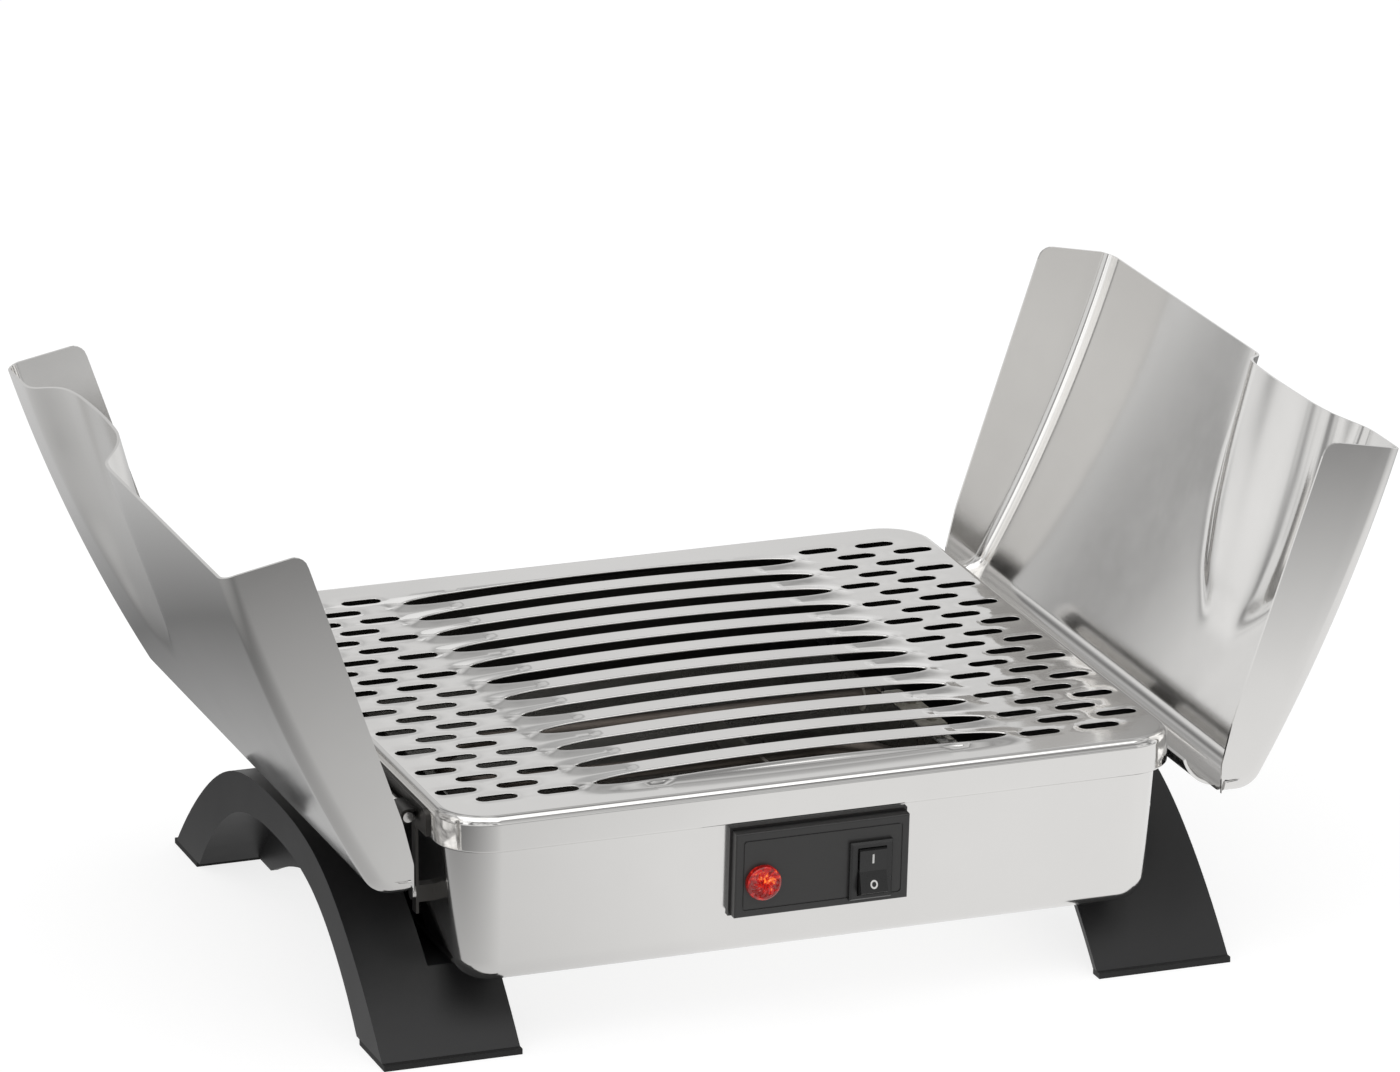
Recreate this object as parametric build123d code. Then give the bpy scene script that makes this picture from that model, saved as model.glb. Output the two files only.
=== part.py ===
from build123d import *
from math import acos, cos, radians, sin, sqrt, tan
import os

# Table-top electric plate warmer: a slotted steel cover on a drawn tub that stands on two
# arched feet, with two fold-down side wings on rod hinges, a switch panel and a tubular heater.
#
# Millimetres. Origin on the table under the middle of the warmer, +X to the right seen from the
# front, +Y to the back, +Z up. The wings are drawn open, the switch is drawn on.

# ---------------------------------------------------------------- driving dimensions
# Cover
COVER_WIDTH = 262.0
COVER_DEPTH = 251.0
COVER_TOP = 87.0            # height of the flat top face above the table
SKIRT_HEIGHT = 12.5
SHEET = 1.0                 # sheet metal of the cover, tub and wings
COVER_CORNER = 18.0
COVER_EDGE = 3.0            # rounding between the top and the skirt
SLOT_COUNT = 12
SLOT_WIDTH = 9.2
SLOT_TIP = 19.0             # length of each narrowing slot end
SLOT_INSET = 57.0           # from the cover's side to the slot tips
FRONT_BORDER = 19.6         # from the cover's front to the first slot's middle
BACK_BORDER = 29.44         # from the last slot's middle to the cover's back
FIELD_RISE = 2.75           # arch of the ribs between the slots
FIELD_MARGIN = 4.6          # raised field beyond the slots
VENT_LENGTH = 14.0
VENT_WIDTH = 4.2
VENT_PITCH_X = 21.6
VENT_ROWS = 21
VENT_INSET = 12.2           # from the cover's side to the middle of the outermost vents
VENT_BORDER = 19.8          # from the cover's front and back to the outermost rows

# Tub
TUB_CLEARANCE = 2.03        # between the tub's rim and the inside of the skirt
TUB_UNDERSIDE = 25.0
TUB_CORNER = 12.0
TUB_BOTTOM_RADIUS = 9.0
WALL_DRAFT = 4.1            # degrees

# Feet
FOOT_BOX_WIDTH = 24.3       # arched box beside the tub
FOOT_SIDE_GAP = 2.4         # between the box and the tub's side
FOOT_SETBACK = 7.0          # from the cover's front and back to the toes
FOOT_LEG_LENGTH = 27.5      # sole of one leg
FOOT_ARCH_TOP = 56.3
FOOT_ARCH_BAND = 12.9       # thickness of the arch at its crown
FOOT_WALL = 2.5
LEDGE_REACH = 19.6          # of the ledge under the tub, from the tub's side
WEB_LEG_EXTRA = 12.0        # the inner web's leg is longer than the box's
WEB_DROP = 6.0              # of the inner web below the tub
PAD_HEIGHT = 2.0
PAD_LIP = 0.7
PAD_STRIP = 5.7
PAD_HEEL = 1.5              # the sole stops short of the leg's inner face
FOOT_SCREW_RADIUS = 2.0
FOOT_SCREW_INSET = 13.6     # from the tub's side
FOOT_SCREW_Y = 32.0
SCREW_CLEARANCE = 0.2
HEAD_HEIGHT = 2.4
NUT_RADIUS = 4.0
NUT_HEIGHT = 3.0
SCREW_END = 2.0             # screw beyond its nut

# Side wings
WING_HEIGHT = 180.0         # top edge of the open wing
WING_CORNER = 10.0          # outer radius between the wing's bottom and its panel
WING_FOLD = 5.0             # outer radius between panel and end flange
PANEL_RISE = 60.2           # degrees, where the bowed panel leaves the corner
PANEL_BOW = 590.0           # radius of the bowed panel
FLANGE_CLEARANCE = 1.0      # between the cover and the flanges of the folded wing
FLANGE_CORNER = 5.0
FLANGE_STEP = 6.2           # the flange rises above the panel's edge
GRIP_DEPTH = 12.4
GRIP_FALL = 88.0            # from the top edge to where the grip fades out
GRIP_INNER_Y = 8.0
GRIP_OUTER_Y = 99.5
GRIP_LIP = 1.5              # the pressing tool's rim outside the sheet

# Hinges
HINGE_OUT = 3.8             # axis beyond the skirt
HINGE_DROP = 8.2            # axis below the cover's top
CURL_RADIUS = 14.0
CURL_OUT = 12.8             # middle of the curl beyond the hinge axis
WING_DROP = 14.2            # wing's bottom below the hinge axis
CORNER_OUT = 16.3           # middle of the outer corner beyond the hinge axis
FLANGE_TOP_OUT = 46.0       # the flange's corners beyond the hinge axis
FLANGE_WAIST_OUT = 13.2
FLANGE_WAIST_RISE = 11.2
FLANGE_FOOT_OUT = 9.5
FLANGE_FOOT_DROP = 3.8
CURL_SETBACK = 9.5          # from the wing's front to the curl
PIN_RADIUS = 1.2
PIN_CLEARANCE = 0.06
PIN_HEAD = 1.0
KNUCKLE_RADIUS = 2.4
KNUCKLE_GAP = 0.5
END_KNUCKLE = 12.0
MIDDLE_KNUCKLE = 24.0
HINGE_LENGTH = 184.0
LEAF_LENGTH = 206.0
LEAF_HEIGHT = 9.0
LEAF_LIFT = 0.5             # above the skirt's lower edge
STRAP_WIDTH = 4.0
STRAP_END = 7.0             # of the strap below its rivet
SPACER_HALF = 3.0
RIVET_DROP = 23.5           # below the skirt
RIVET_RADIUS = 1.2
RIVET_HEAD = 2.4
RIVET_TAIL = 1.9
RIVET_HEIGHT = 1.2

# Front panel
PANEL_WIDTH = 62.0
PANEL_HEIGHT = 30.5
PANEL_THICKNESS = 4.6
PANEL_GAP = 2.05            # below the skirt
PANEL_WALL = 2.0
PANEL_FACE = 1.8
PANEL_EDGE = 0.6
BORDER_INSET = 2.5          # engraved line
BORDER_WIDTH = 0.5
BORDER_DEPTH = 0.3
BACKING_BORDER = 0.7
BACKING_THICKNESS = 1.2
CONTROL_DROP = 2.8          # switch and lamp below the panel's middle
WINDOW_CLEARANCE = 0.45
CONTROL_FIT = 0.15
LAMP_INSET = 9.7            # from the panel's end
LAMP_RADIUS = 6.15
LENS_HEIGHT = 2.6
LAMP_BODY_RADIUS = 4.8
LAMP_BODY_DEPTH = 8.0       # behind the tub's face
SWITCH_INSET = 13.95        # from the panel's end
BEZEL_WIDTH = 15.2
BEZEL_HEIGHT = 21.0
BEZEL_THICKNESS = 2.0
BEZEL_CHAMFER = 0.7
SWITCH_BODY_WIDTH = 13.0
SWITCH_BODY_HEIGHT = 19.0
SWITCH_BODY_DEPTH = 15.0
BLADE_LENGTH = 6.5
BLADE_PITCH = 5.5
BLADE_WIDTH = 4.8
BLADE_THICKNESS = 0.8
ROCKER_WIDTH = 9.6
ROCKER_RADIUS = 8.3
ROCKER_CREST = 1.1          # above the bezel
ROCKER_DEPTH = 5.0          # below the pivot
ROCKER_THROW = 9.0          # degrees each way from the middle
ROCKER_GAP = 0.35
PIVOT_RADIUS = 1.2
PIVOT_LIFT = 0.5            # pivot in front of the panel's face
PIVOT_STUB = 1.1

# Heater
SIDE_CHANNEL = 33.6         # from the tub's sides to the tray
FRONT_CHANNEL = 26.1
BACK_CHANNEL = 12.1
TRAY_LIFT = 7.0             # above the tub's floor
TRAY_HEIGHT = 17.0
TRAY_SHEET = 0.8
STANDOFF_RADIUS = 4.0
STANDOFF_INSET = 12.0
ELEMENT_RADIUS = 3.2
ELEMENT_LIFT = 10.0         # above the tray's underside
ELEMENT_LEGS = 4
ELEMENT_LEG_PITCH = 46.0
ELEMENT_END = 6.0           # cold end beyond the tray
ELEMENT_TURN = 14.0         # from the tray's side to the bends
BUSH_WALL = 1.9
BUSH_FLANGE = 3.2
BUSH_LENGTH = 3.4
ELEMENT_FIT = 0.1
SUPPORT_X = 32.0
SUPPORT_SHEET = 1.5
SUPPORT_END = 9.0
THERMOSTAT_RADIUS = 7.2
THERMOSTAT_CAP = 6.0
THERMOSTAT_BODY = 4.5
THERMOSTAT_LENGTH = 7.5
FUSE_RADIUS = 2.2
FUSE_LENGTH = 18.0
FUSE_Y = 27.0
SADDLE_SHEET = 1.5
SADDLE_LENGTH = 14.0
SADDLE_HEIGHT = 6.0
FUSE_GRIP = 0.7             # the capsule sits in the saddle

# Wiring
BLOCK_MARGIN = 1.6          # from the tub's bottom rounding
BLOCK_FRONT = 45.0
BLOCK_LENGTH = 30.0
BLOCK_HEIGHT = 12.0
BLOCK_WIDTH = 15.0
BLOCK_WAYS = 3
BLOCK_HOLE = 1.8
BLOCK_HOLE_INSET = 4.0
LEAD_RADIUS = 1.1
LEAD_GAP = 0.1              # between a lead's end and the part it serves
LANE_PITCH = 2.6
LANE_LIFT = 4.5             # of the lanes above the tub's floor
LANE_INSET = 0.6            # of the first lane beyond the block's inner face
LANE_STACK = 2.8
LEAD_FALL = 22.0
SWITCH_LEAD_RUN = 5.4
LAMP_LEAD_RUN = 16.6
LAMP_LEAD_PITCH = 4.8
BEND_TIGHT = 2.6
BEND_SMALL = 3.0
BEND_MIDDLE = 5.0
BEND_LARGE = 8.0
ELEMENT_LANE = 5
EARTH_INSET = 7.0           # beyond the block's inner face
EARTH_SETBACK = 26.0        # from the tub's back
EARTH_LENGTH = 11.0
EARTH_WASHER = 4.5
GLAND_INSET = 2.0           # beyond the block's inner face
GLAND_LIFT = 23.0           # above the tub's underside
GLAND_BORE = 4.2            # grips the cord, outside the wall
GLAND_RELIEF = 4.7          # wider bore from there to the inside
GLAND_SEAT = 0.4            # the narrow bore starts this far outside the wall
GLAND_SLEEVE = 6.0
GLAND_FLANGE = 10.0
GLAND_RIM = 2.5
GLAND_COLLAR = 1.2
GLAND_REACH = 9.0           # each way from the wall
GLAND_NUT = 9.5
GLAND_NUT_HEIGHT = 4.0

# ---------------------------------------------------------------- derived places
FAR = 400.0                 # reach of cutting blocks
CUT = 1.0                   # how far a cut passes the face it opens
TINY = 0.01
DRAFT_SLOPE = tan(radians(WALL_DRAFT))
WALL_THICKNESS = SHEET * (1 + DRAFT_SLOPE) * cos(radians(WALL_DRAFT))
SKIRT_BOTTOM = COVER_TOP - SKIRT_HEIGHT
COVER_INSIDE = COVER_TOP - SHEET
SKIRT_FACE = COVER_WIDTH / 2
SLOT_LENGTH = COVER_WIDTH - 2 * SLOT_INSET
SLOT_PITCH = (COVER_DEPTH - FRONT_BORDER - BACK_BORDER) / (SLOT_COUNT - 1)
FIRST_SLOT_Y = FRONT_BORDER - COVER_DEPTH / 2
VENT_PITCH_Y = (COVER_DEPTH - 2 * VENT_BORDER) / (VENT_ROWS - 1)
TUB_FLOOR = TUB_UNDERSIDE + SHEET
TUB_HEIGHT = COVER_INSIDE - TUB_UNDERSIDE
TUB_INSET = SHEET + TUB_CLEARANCE + TUB_HEIGHT * DRAFT_SLOPE
TUB_WIDTH = COVER_WIDTH - 2 * TUB_INSET         # at the underside
TUB_DEPTH = COVER_DEPTH - 2 * TUB_INSET
FOOT_WEB_X = TUB_WIDTH / 2 + (FOOT_ARCH_TOP - TUB_UNDERSIDE) * DRAFT_SLOPE + FOOT_SIDE_GAP
FOOT_OUTER_X = FOOT_WEB_X + FOOT_BOX_WIDTH
FOOT_INNER_X = TUB_WIDTH / 2 - LEDGE_REACH
FOOT_BASE_HALF = COVER_DEPTH / 2 - FOOT_SETBACK
FOOT_LEG_INNER = FOOT_BASE_HALF - FOOT_LEG_LENGTH
FOOT_ARCH_UNDER = FOOT_ARCH_TOP - FOOT_ARCH_BAND
HINGE_X = SKIRT_FACE + HINGE_OUT
HINGE_Z = COVER_TOP - HINGE_DROP
WING_DEPTH = COVER_DEPTH + 2 * (SHEET + FLANGE_CLEARANCE)
WING_BOTTOM = HINGE_Z - WING_DROP
CURL_X = HINGE_X + CURL_OUT
CURL_Z = WING_BOTTOM + CURL_RADIUS
CORNER_X = HINGE_X + CORNER_OUT
CORNER_Z = WING_BOTTOM + WING_CORNER
FLANGE_FOOT_X = HINGE_X + FLANGE_FOOT_OUT
RIVET_Z = SKIRT_BOTTOM - RIVET_DROP
PANEL_Z = SKIRT_BOTTOM - PANEL_GAP - BACKING_BORDER - PANEL_HEIGHT / 2
PANEL_FRONT = BACKING_THICKNESS + PANEL_THICKNESS
PIVOT_DEPTH = PANEL_FRONT + PIVOT_LIFT
LAMP_X = LAMP_INSET - PANEL_WIDTH / 2
SWITCH_X = PANEL_WIDTH / 2 - SWITCH_INSET
TRAY_HALF_WIDTH = TUB_WIDTH / 2 - SIDE_CHANNEL
TRAY_FRONT = FRONT_CHANNEL - TUB_DEPTH / 2
TRAY_BACK = TUB_DEPTH / 2 - BACK_CHANNEL
TRAY_FLOOR = TUB_FLOOR + TRAY_LIFT
ELEMENT_Z = TRAY_FLOOR + ELEMENT_LIFT
ELEMENT_END_X = TRAY_HALF_WIDTH + ELEMENT_END
ELEMENT_TURN_X = TRAY_HALF_WIDTH - ELEMENT_TURN
BLOCK_OUTER_X = TUB_WIDTH / 2 - TUB_BOTTOM_RADIUS - BLOCK_MARGIN
BLOCK_INNER_X = BLOCK_OUTER_X - BLOCK_WIDTH
LANE_X = BLOCK_INNER_X + LANE_INSET
LANE_Z = TUB_FLOOR + LANE_LIFT
GLAND_X = BLOCK_INNER_X + GLAND_INSET
GLAND_Z = TUB_UNDERSIDE + GLAND_LIFT


def save(shape, node):
    """Write one sub-part."""
    export_step(shape, f"parts/{node}.step")


def slab(x0, x1, y0, y1, z0, z1):
    """A box between two corners."""
    centre = Pos((x0 + x1) / 2, (y0 + y1) / 2, (z0 + z1) / 2)
    return centre * Box(abs(x1 - x0), abs(y1 - y0), abs(z1 - z0))


def rod(radius, start, end):
    """A round bar between two points."""
    start = Vector(*start)
    end = Vector(*end)
    plane = Plane(origin=start, z_dir=end - start)
    return extrude(plane * Circle(radius), (end - start).length)


def side_profile(face, x0, x1):
    """Extrude a face drawn in y and z from x0 to x1."""
    return Pos(x0, 0, 0) * extrude(Plane.YZ * face, x1 - x0)


def front_profile(outline, y0, y1):
    """Extrude a closed (x, z) outline from y0 to y1."""
    face = make_face(outline)
    return Pos(0, y1, 0) * extrude(Plane.XZ * face, y1 - y0)


def turned(shape):
    """The same piece for the other side: half a turn about the vertical axis."""
    return Rot(0, 0, 180) * shape


def group(shapes):
    """Several separate solids that share one node."""
    return Compound(children=list(shapes))


# ---------------------------------------------------------------- tub
def tub_shell(inset, floor_z):
    """The tub's drawn form, inset from its outer face and closed at the bottom."""
    width = TUB_WIDTH - 2 * inset
    depth = TUB_DEPTH - 2 * inset
    foot = Pos(0, 0, floor_z) * RectangleRounded(width, depth, TUB_CORNER - inset)
    body = extrude(foot, COVER_INSIDE - floor_z, taper=-WALL_DRAFT)
    lowest = body.faces().sort_by(Axis.Z)[0]
    return fillet(lowest.edges(), TUB_BOTTOM_RADIUS - inset)


def wall_plane(x, z, front=True):
    """A plane on the tub's front or back wall: local z points out, local y up the wall."""
    offset = TUB_DEPTH / 2 + (z - TUB_UNDERSIDE) * DRAFT_SLOPE
    draft = radians(WALL_DRAFT)
    side = -1 if front else 1
    normal = (0, side * cos(draft), -sin(draft))
    return Plane(origin=(x, side * offset, z), x_dir=(-side, 0, 0), z_dir=normal)


PANEL = wall_plane(0, PANEL_Z)
PANEL_NORMAL = Axis(PANEL.origin, PANEL.z_dir)
GLAND = wall_plane(GLAND_X, GLAND_Z, front=False)


def local_box(plane, x, y, width, height, low, high):
    """A box on a wall plane, centred at local x, y, from depth low to depth high."""
    return plane * Pos(x, y, (low + high) / 2) * Box(width, height, high - low)


def local_rod(plane, x, y, radius, low, high):
    """A round bar that stands on a wall plane."""
    return plane * Pos(x, y, (low + high) / 2) * Cylinder(radius, high - low)


def four(x, y):
    """Four places, one in each quarter."""
    return [(sx * x, sy * y) for sx in (-1, 1) for sy in (-1, 1)]


FOOT_SCREWS = four(TUB_WIDTH / 2 - FOOT_SCREW_INSET, FOOT_SCREW_Y)
STANDOFFS = four(TRAY_HALF_WIDTH - STANDOFF_INSET, -TRAY_FRONT - STANDOFF_INSET)
STRAP_Y = (HINGE_LENGTH - STRAP_WIDTH) / 2


def housing_tub():
    """Deep-drawn tub with its floor holes, the switch and lamp holes and the cord hole."""
    tub = tub_shell(0, TUB_UNDERSIDE) - tub_shell(SHEET, TUB_FLOOR)
    for x, y in FOOT_SCREWS:
        tub -= rod(FOOT_SCREW_RADIUS + SCREW_CLEARANCE, (x, y, TUB_UNDERSIDE - CUT), (x, y, TUB_FLOOR + CUT))
    through = -2 * WALL_THICKNESS
    window = (SWITCH_BODY_WIDTH + 2 * WINDOW_CLEARANCE, SWITCH_BODY_HEIGHT + 2 * WINDOW_CLEARANCE)
    tub -= local_box(PANEL, SWITCH_X, -CONTROL_DROP, *window, through, CUT)
    tub -= local_rod(PANEL, LAMP_X, -CONTROL_DROP, LAMP_BODY_RADIUS + WINDOW_CLEARANCE, through, CUT)
    tub -= local_rod(GLAND, 0, 0, GLAND_SLEEVE + SCREW_CLEARANCE, through, CUT)
    for y in (-STRAP_Y, STRAP_Y):
        hole = RIVET_RADIUS + SCREW_CLEARANCE / 2
        tub -= rod(hole, (-SKIRT_FACE, y, RIVET_Z), (SKIRT_FACE, y, RIVET_Z))
    return tub


def tub_side(z):
    """Half width of the tub at a height."""
    return TUB_WIDTH / 2 + (z - TUB_UNDERSIDE) * DRAFT_SLOPE


# ---------------------------------------------------------------- cover
def cover_block(inset):
    """The cover's outer form, or its inside when inset by the sheet."""
    width = COVER_WIDTH - 2 * inset
    depth = COVER_DEPTH - 2 * inset
    low = SKIRT_BOTTOM if inset == 0 else SKIRT_BOTTOM - CUT
    plan = Pos(0, 0, low) * RectangleRounded(width, depth, COVER_CORNER - inset)
    block = extrude(plan, COVER_TOP - inset - low)
    highest = block.faces().sort_by(Axis.Z)[-1]
    return fillet(highest.edges(), COVER_EDGE - inset)


def raised_field(inset):
    """The arched field that carries the slots."""
    half = SLOT_LENGTH / 2 + FIELD_MARGIN
    base = COVER_TOP - inset
    arch = ThreePointArc((-half, base), (0, base + FIELD_RISE), (half, base))
    outline = arch + Line((half, base), (-half, base))
    last_slot = FIRST_SLOT_Y + (SLOT_COUNT - 1) * SLOT_PITCH
    border = SLOT_WIDTH / 2 + FIELD_MARGIN
    return front_profile(outline, FIRST_SLOT_Y - border + inset, last_slot + border - inset)


def slot_cutter():
    """One plate slot: straight sides with narrowing round ends."""
    straight = SLOT_LENGTH - 2 * SLOT_TIP
    plan = Rectangle(straight, SLOT_WIDTH)
    for side in (-1, 1):
        plan += Pos(side * straight / 2, 0) * Ellipse(SLOT_TIP, SLOT_WIDTH / 2)
    return Pos(0, 0, SKIRT_BOTTOM) * extrude(plan, SKIRT_HEIGHT + 2 * FIELD_RISE)


def vent_places():
    """Staggered vents on both sides of the slots: two in each row on each side."""
    for row in range(VENT_ROWS):
        y = VENT_BORDER - COVER_DEPTH / 2 + row * VENT_PITCH_Y
        for half_pitches in (1 - row % 2, 3 - row % 2):
            x = SKIRT_FACE - VENT_INSET - half_pitches * VENT_PITCH_X / 2
            yield x, y
            yield -x, y


def top_cover():
    """Stamped cover with its skirt, the arched field, the plate slots and the vents."""
    cover = cover_block(0) + raised_field(0) - cover_block(SHEET) - raised_field(SHEET)
    slots = [Pos(0, FIRST_SLOT_Y + k * SLOT_PITCH, 0) * slot_cutter() for k in range(SLOT_COUNT)]
    vent = Pos(0, 0, COVER_INSIDE - CUT) * extrude(SlotOverall(VENT_LENGTH, VENT_WIDTH), SHEET + 2 * CUT)
    vents = [Pos(x, y, 0) * vent for x, y in vent_places()]
    return cover - slots - vents


# ---------------------------------------------------------------- feet
# Points of each arch as shares of its half length and of its height
OUTER_SHOULDERS = ((0.713, 0.551), (0.426, 0.886))
INNER_SHOULDERS = ((0.780, 0.472), (0.462, 0.866))
WEB_SHOULDERS = ((0.772, 0.421), (0.557, 0.726))


def arch(half, height, shoulders):
    """The curve of an arch that springs from z = 0 at -half and +half."""
    right = [(half, 0)] + [(half * y, height * z) for y, z in shoulders]
    left = [(-y, z) for y, z in right]
    return Spline(left + [(0, height)] + right[::-1])


def beside(curve, distance, steps=12):
    """The arch moved outwards by a wall, through even steps along it."""
    points = []
    for step in range(steps + 1):
        along = curve.tangent_at(step / steps)
        points.append(curve.position_at(step / steps) + Vector(-along.Y, along.X) * distance)
    return Spline(points)


def space_under(curve):
    """The face between an arch and the line that joins its ends."""
    return make_face(curve + Line(curve @ 1, curve @ 0))


OUTER_CURVE = arch(FOOT_BASE_HALF, FOOT_ARCH_TOP, OUTER_SHOULDERS)
INNER_CURVE = arch(FOOT_LEG_INNER, FOOT_ARCH_UNDER, INNER_SHOULDERS)
WEB_CURVE = arch(FOOT_LEG_INNER - WEB_LEG_EXTRA, TUB_UNDERSIDE - WEB_DROP, WEB_SHOULDERS)


def right_foot():
    """Moulded foot: an arched box beside the tub and a mounting ledge under it."""
    outside = space_under(OUTER_CURVE)
    inside = space_under(beside(OUTER_CURVE, -FOOT_WALL))
    lining = space_under(beside(INNER_CURVE, FOOT_WALL))
    opening = space_under(INNER_CURVE)
    low = FOOT_WEB_X - CUT
    skin_end = FOOT_WEB_X + FOOT_WALL
    box = side_profile(outside, FOOT_WEB_X, FOOT_OUTER_X) - side_profile(opening, low, FOOT_OUTER_X + CUT)
    hollow = side_profile(inside, low, FOOT_OUTER_X - FOOT_WALL) - side_profile(lining, low - CUT, FOOT_OUTER_X)
    hollow -= slab(low - CUT, FOOT_OUTER_X, -FAR, FAR, -CUT, PAD_HEIGHT + FOOT_WALL)
    skin = side_profile(outside, FOOT_INNER_X, skin_end)
    skin -= side_profile(inside, FOOT_INNER_X - CUT, skin_end + CUT)
    skin -= slab(FOOT_INNER_X - CUT, FOOT_WEB_X, -FAR, FAR, TUB_UNDERSIDE, FAR)
    web = side_profile(lining, FOOT_WEB_X, skin_end)
    web -= side_profile(space_under(WEB_CURVE), low, skin_end + CUT)
    ledge = side_profile(outside, FOOT_INNER_X, skin_end)
    ledge &= slab(FOOT_INNER_X, skin_end, -FAR, FAR, TUB_UNDERSIDE - FOOT_WALL, TUB_UNDERSIDE)
    foot = (box - hollow) + skin + web + ledge
    foot -= slab(0, FAR, -FAR, FAR, -FAR, PAD_HEIGHT)
    for x, y in FOOT_SCREWS:
        foot -= rod(FOOT_SCREW_RADIUS + SCREW_CLEARANCE, (x, y, 0), (x, y, TUB_UNDERSIDE + CUT))
    return foot


def right_foot_pads():
    """Sole under each leg: a full pad under the arched box and a strip under the skin."""
    pads = []
    for side in (-1, 1):
        toe = side * (FOOT_BASE_HALF + PAD_LIP)
        strip = slab(FOOT_INNER_X, FOOT_OUTER_X, toe, toe - side * PAD_STRIP, 0, PAD_HEIGHT)
        heel = slab(FOOT_WEB_X, FOOT_OUTER_X, toe, side * (FOOT_LEG_INNER + PAD_HEEL), 0, PAD_HEIGHT)
        pads.append(strip + heel)
    return group(pads)


def foot_screws():
    """Pan-head screws that hold the feet under the tub."""
    low = TUB_UNDERSIDE - FOOT_WALL
    shapes = []
    for x, y in FOOT_SCREWS:
        head = rod(2 * FOOT_SCREW_RADIUS, (x, y, low - HEAD_HEIGHT), (x, y, low))
        shapes.append(head + rod(FOOT_SCREW_RADIUS, (x, y, low), (x, y, TUB_FLOOR + NUT_HEIGHT + SCREW_END)))
    return group(shapes)


def foot_nuts():
    """Hexagon nuts on the tub's floor."""
    ring = RegularPolygon(NUT_RADIUS, 6) - Circle(FOOT_SCREW_RADIUS + PIN_CLEARANCE)
    nut = extrude(ring, NUT_HEIGHT)
    return group(Pos(x, y, TUB_FLOOR) * nut for x, y in FOOT_SCREWS)


# ---------------------------------------------------------------- wings and hinges
RISE = radians(PANEL_RISE)
BOW_X = CORNER_X - (PANEL_BOW - WING_CORNER) * sin(RISE)
BOW_Z = CORNER_Z + (PANEL_BOW - WING_CORNER) * cos(RISE)
PANEL_LENGTH = PANEL_BOW * (acos((BOW_Z - WING_HEIGHT) / PANEL_BOW) - RISE)


def along_panel(distance, depth=0.0):
    """A point (x, z) on the bowed panel's outer face, up from the corner and inwards by depth."""
    angle = RISE + distance / PANEL_BOW
    return BOW_X + (PANEL_BOW - depth) * sin(angle), BOW_Z - (PANEL_BOW - depth) * cos(angle)


def corner_point(angle, depth=0.0):
    """A point (x, z) on the outer corner, with its angle from straight down."""
    return CORNER_X + (WING_CORNER - depth) * sin(angle), CORNER_Z - (WING_CORNER - depth) * cos(angle)


def curl_point(angle, radius):
    """A point (x, z) on the curl, with the angle from +X in degrees."""
    return CURL_X + radius * cos(radians(angle)), CURL_Z + radius * sin(radians(angle))


def wing_contour(depth=0.0, beyond=0.0):
    """The wing's bottom, corner and panel, from under the curl to the top edge or beyond it."""
    bottom = WING_BOTTOM + depth
    corner = corner_point(0, depth)
    start = corner_point(RISE, depth)
    length = PANEL_LENGTH + beyond
    contour = Line((CURL_X, bottom), corner) + ThreePointArc(corner, corner_point(RISE / 2, depth), start)
    return contour + ThreePointArc(start, along_panel(length / 2, depth), along_panel(length, depth))


def wing_blank():
    """The wing filled in as a block: its contour closed along the flange's free edge."""
    foot_z = CURL_Z - sqrt(CURL_RADIUS ** 2 - (CURL_X - FLANGE_FOOT_X) ** 2)
    bottom = (CURL_X, WING_BOTTOM)
    between = CURL_X - (CURL_X - FLANGE_FOOT_X) / 2
    arc_z = CURL_Z - sqrt(CURL_RADIUS ** 2 - (CURL_X - between) ** 2)
    outline = ThreePointArc((FLANGE_FOOT_X, foot_z), (between, arc_z), bottom) + wing_contour()
    outline += Polyline(along_panel(PANEL_LENGTH),
                        (HINGE_X + FLANGE_TOP_OUT, WING_HEIGHT + FLANGE_STEP),
                        (HINGE_X + FLANGE_WAIST_OUT, HINGE_Z + FLANGE_WAIST_RISE),
                        (FLANGE_FOOT_X, HINGE_Z - FLANGE_FOOT_DROP),
                        (FLANGE_FOOT_X, foot_z))
    block = front_profile(outline, -WING_DEPTH / 2, WING_DEPTH / 2)
    corners = [e for e in block.edges().filter_by(Axis.Y)
               if abs(e.center().Z - WING_HEIGHT - FLANGE_STEP) < TINY]
    block = fillet(corners, FLANGE_CORNER)
    return fillet(end_folds(block, 0), WING_FOLD)


def end_folds(block, depth):
    """The edges at both ends of the wing where the sheet is folded, on the contour at a depth."""
    folds = []
    for edge in block.edges():
        point = edge.position_at(0.5)
        panel = sqrt((point.X - BOW_X) ** 2 + (point.Z - BOW_Z) ** 2) - PANEL_BOW + depth
        corner = sqrt((point.X - CORNER_X) ** 2 + (point.Z - CORNER_Z) ** 2) - WING_CORNER + depth
        curl = sqrt((point.X - CURL_X) ** 2 + (point.Z - CURL_Z) ** 2) - CURL_RADIUS + depth
        bottom = point.Z - WING_BOTTOM - depth
        on_contour = min(abs(panel), abs(corner), abs(curl), abs(bottom)) < TINY
        at_end = abs(abs(point.Y) - WING_DEPTH / 2 + depth) < TINY
        if on_contour and at_end:
            folds.append(edge)
    return folds


def wing_hollow():
    """What is taken out of the block to leave the sheet."""
    beyond = PANEL_LENGTH / 2
    top = along_panel(PANEL_LENGTH + beyond, SHEET)
    low = WING_BOTTOM + SHEET
    outline = wing_contour(SHEET, beyond) + Polyline(top, (HINGE_X, top[1]), (HINGE_X, low), (CURL_X, low))
    half = WING_DEPTH / 2 - SHEET
    block = front_profile(outline, -half, half)
    return fillet(end_folds(block, SHEET), WING_FOLD - SHEET)


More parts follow.
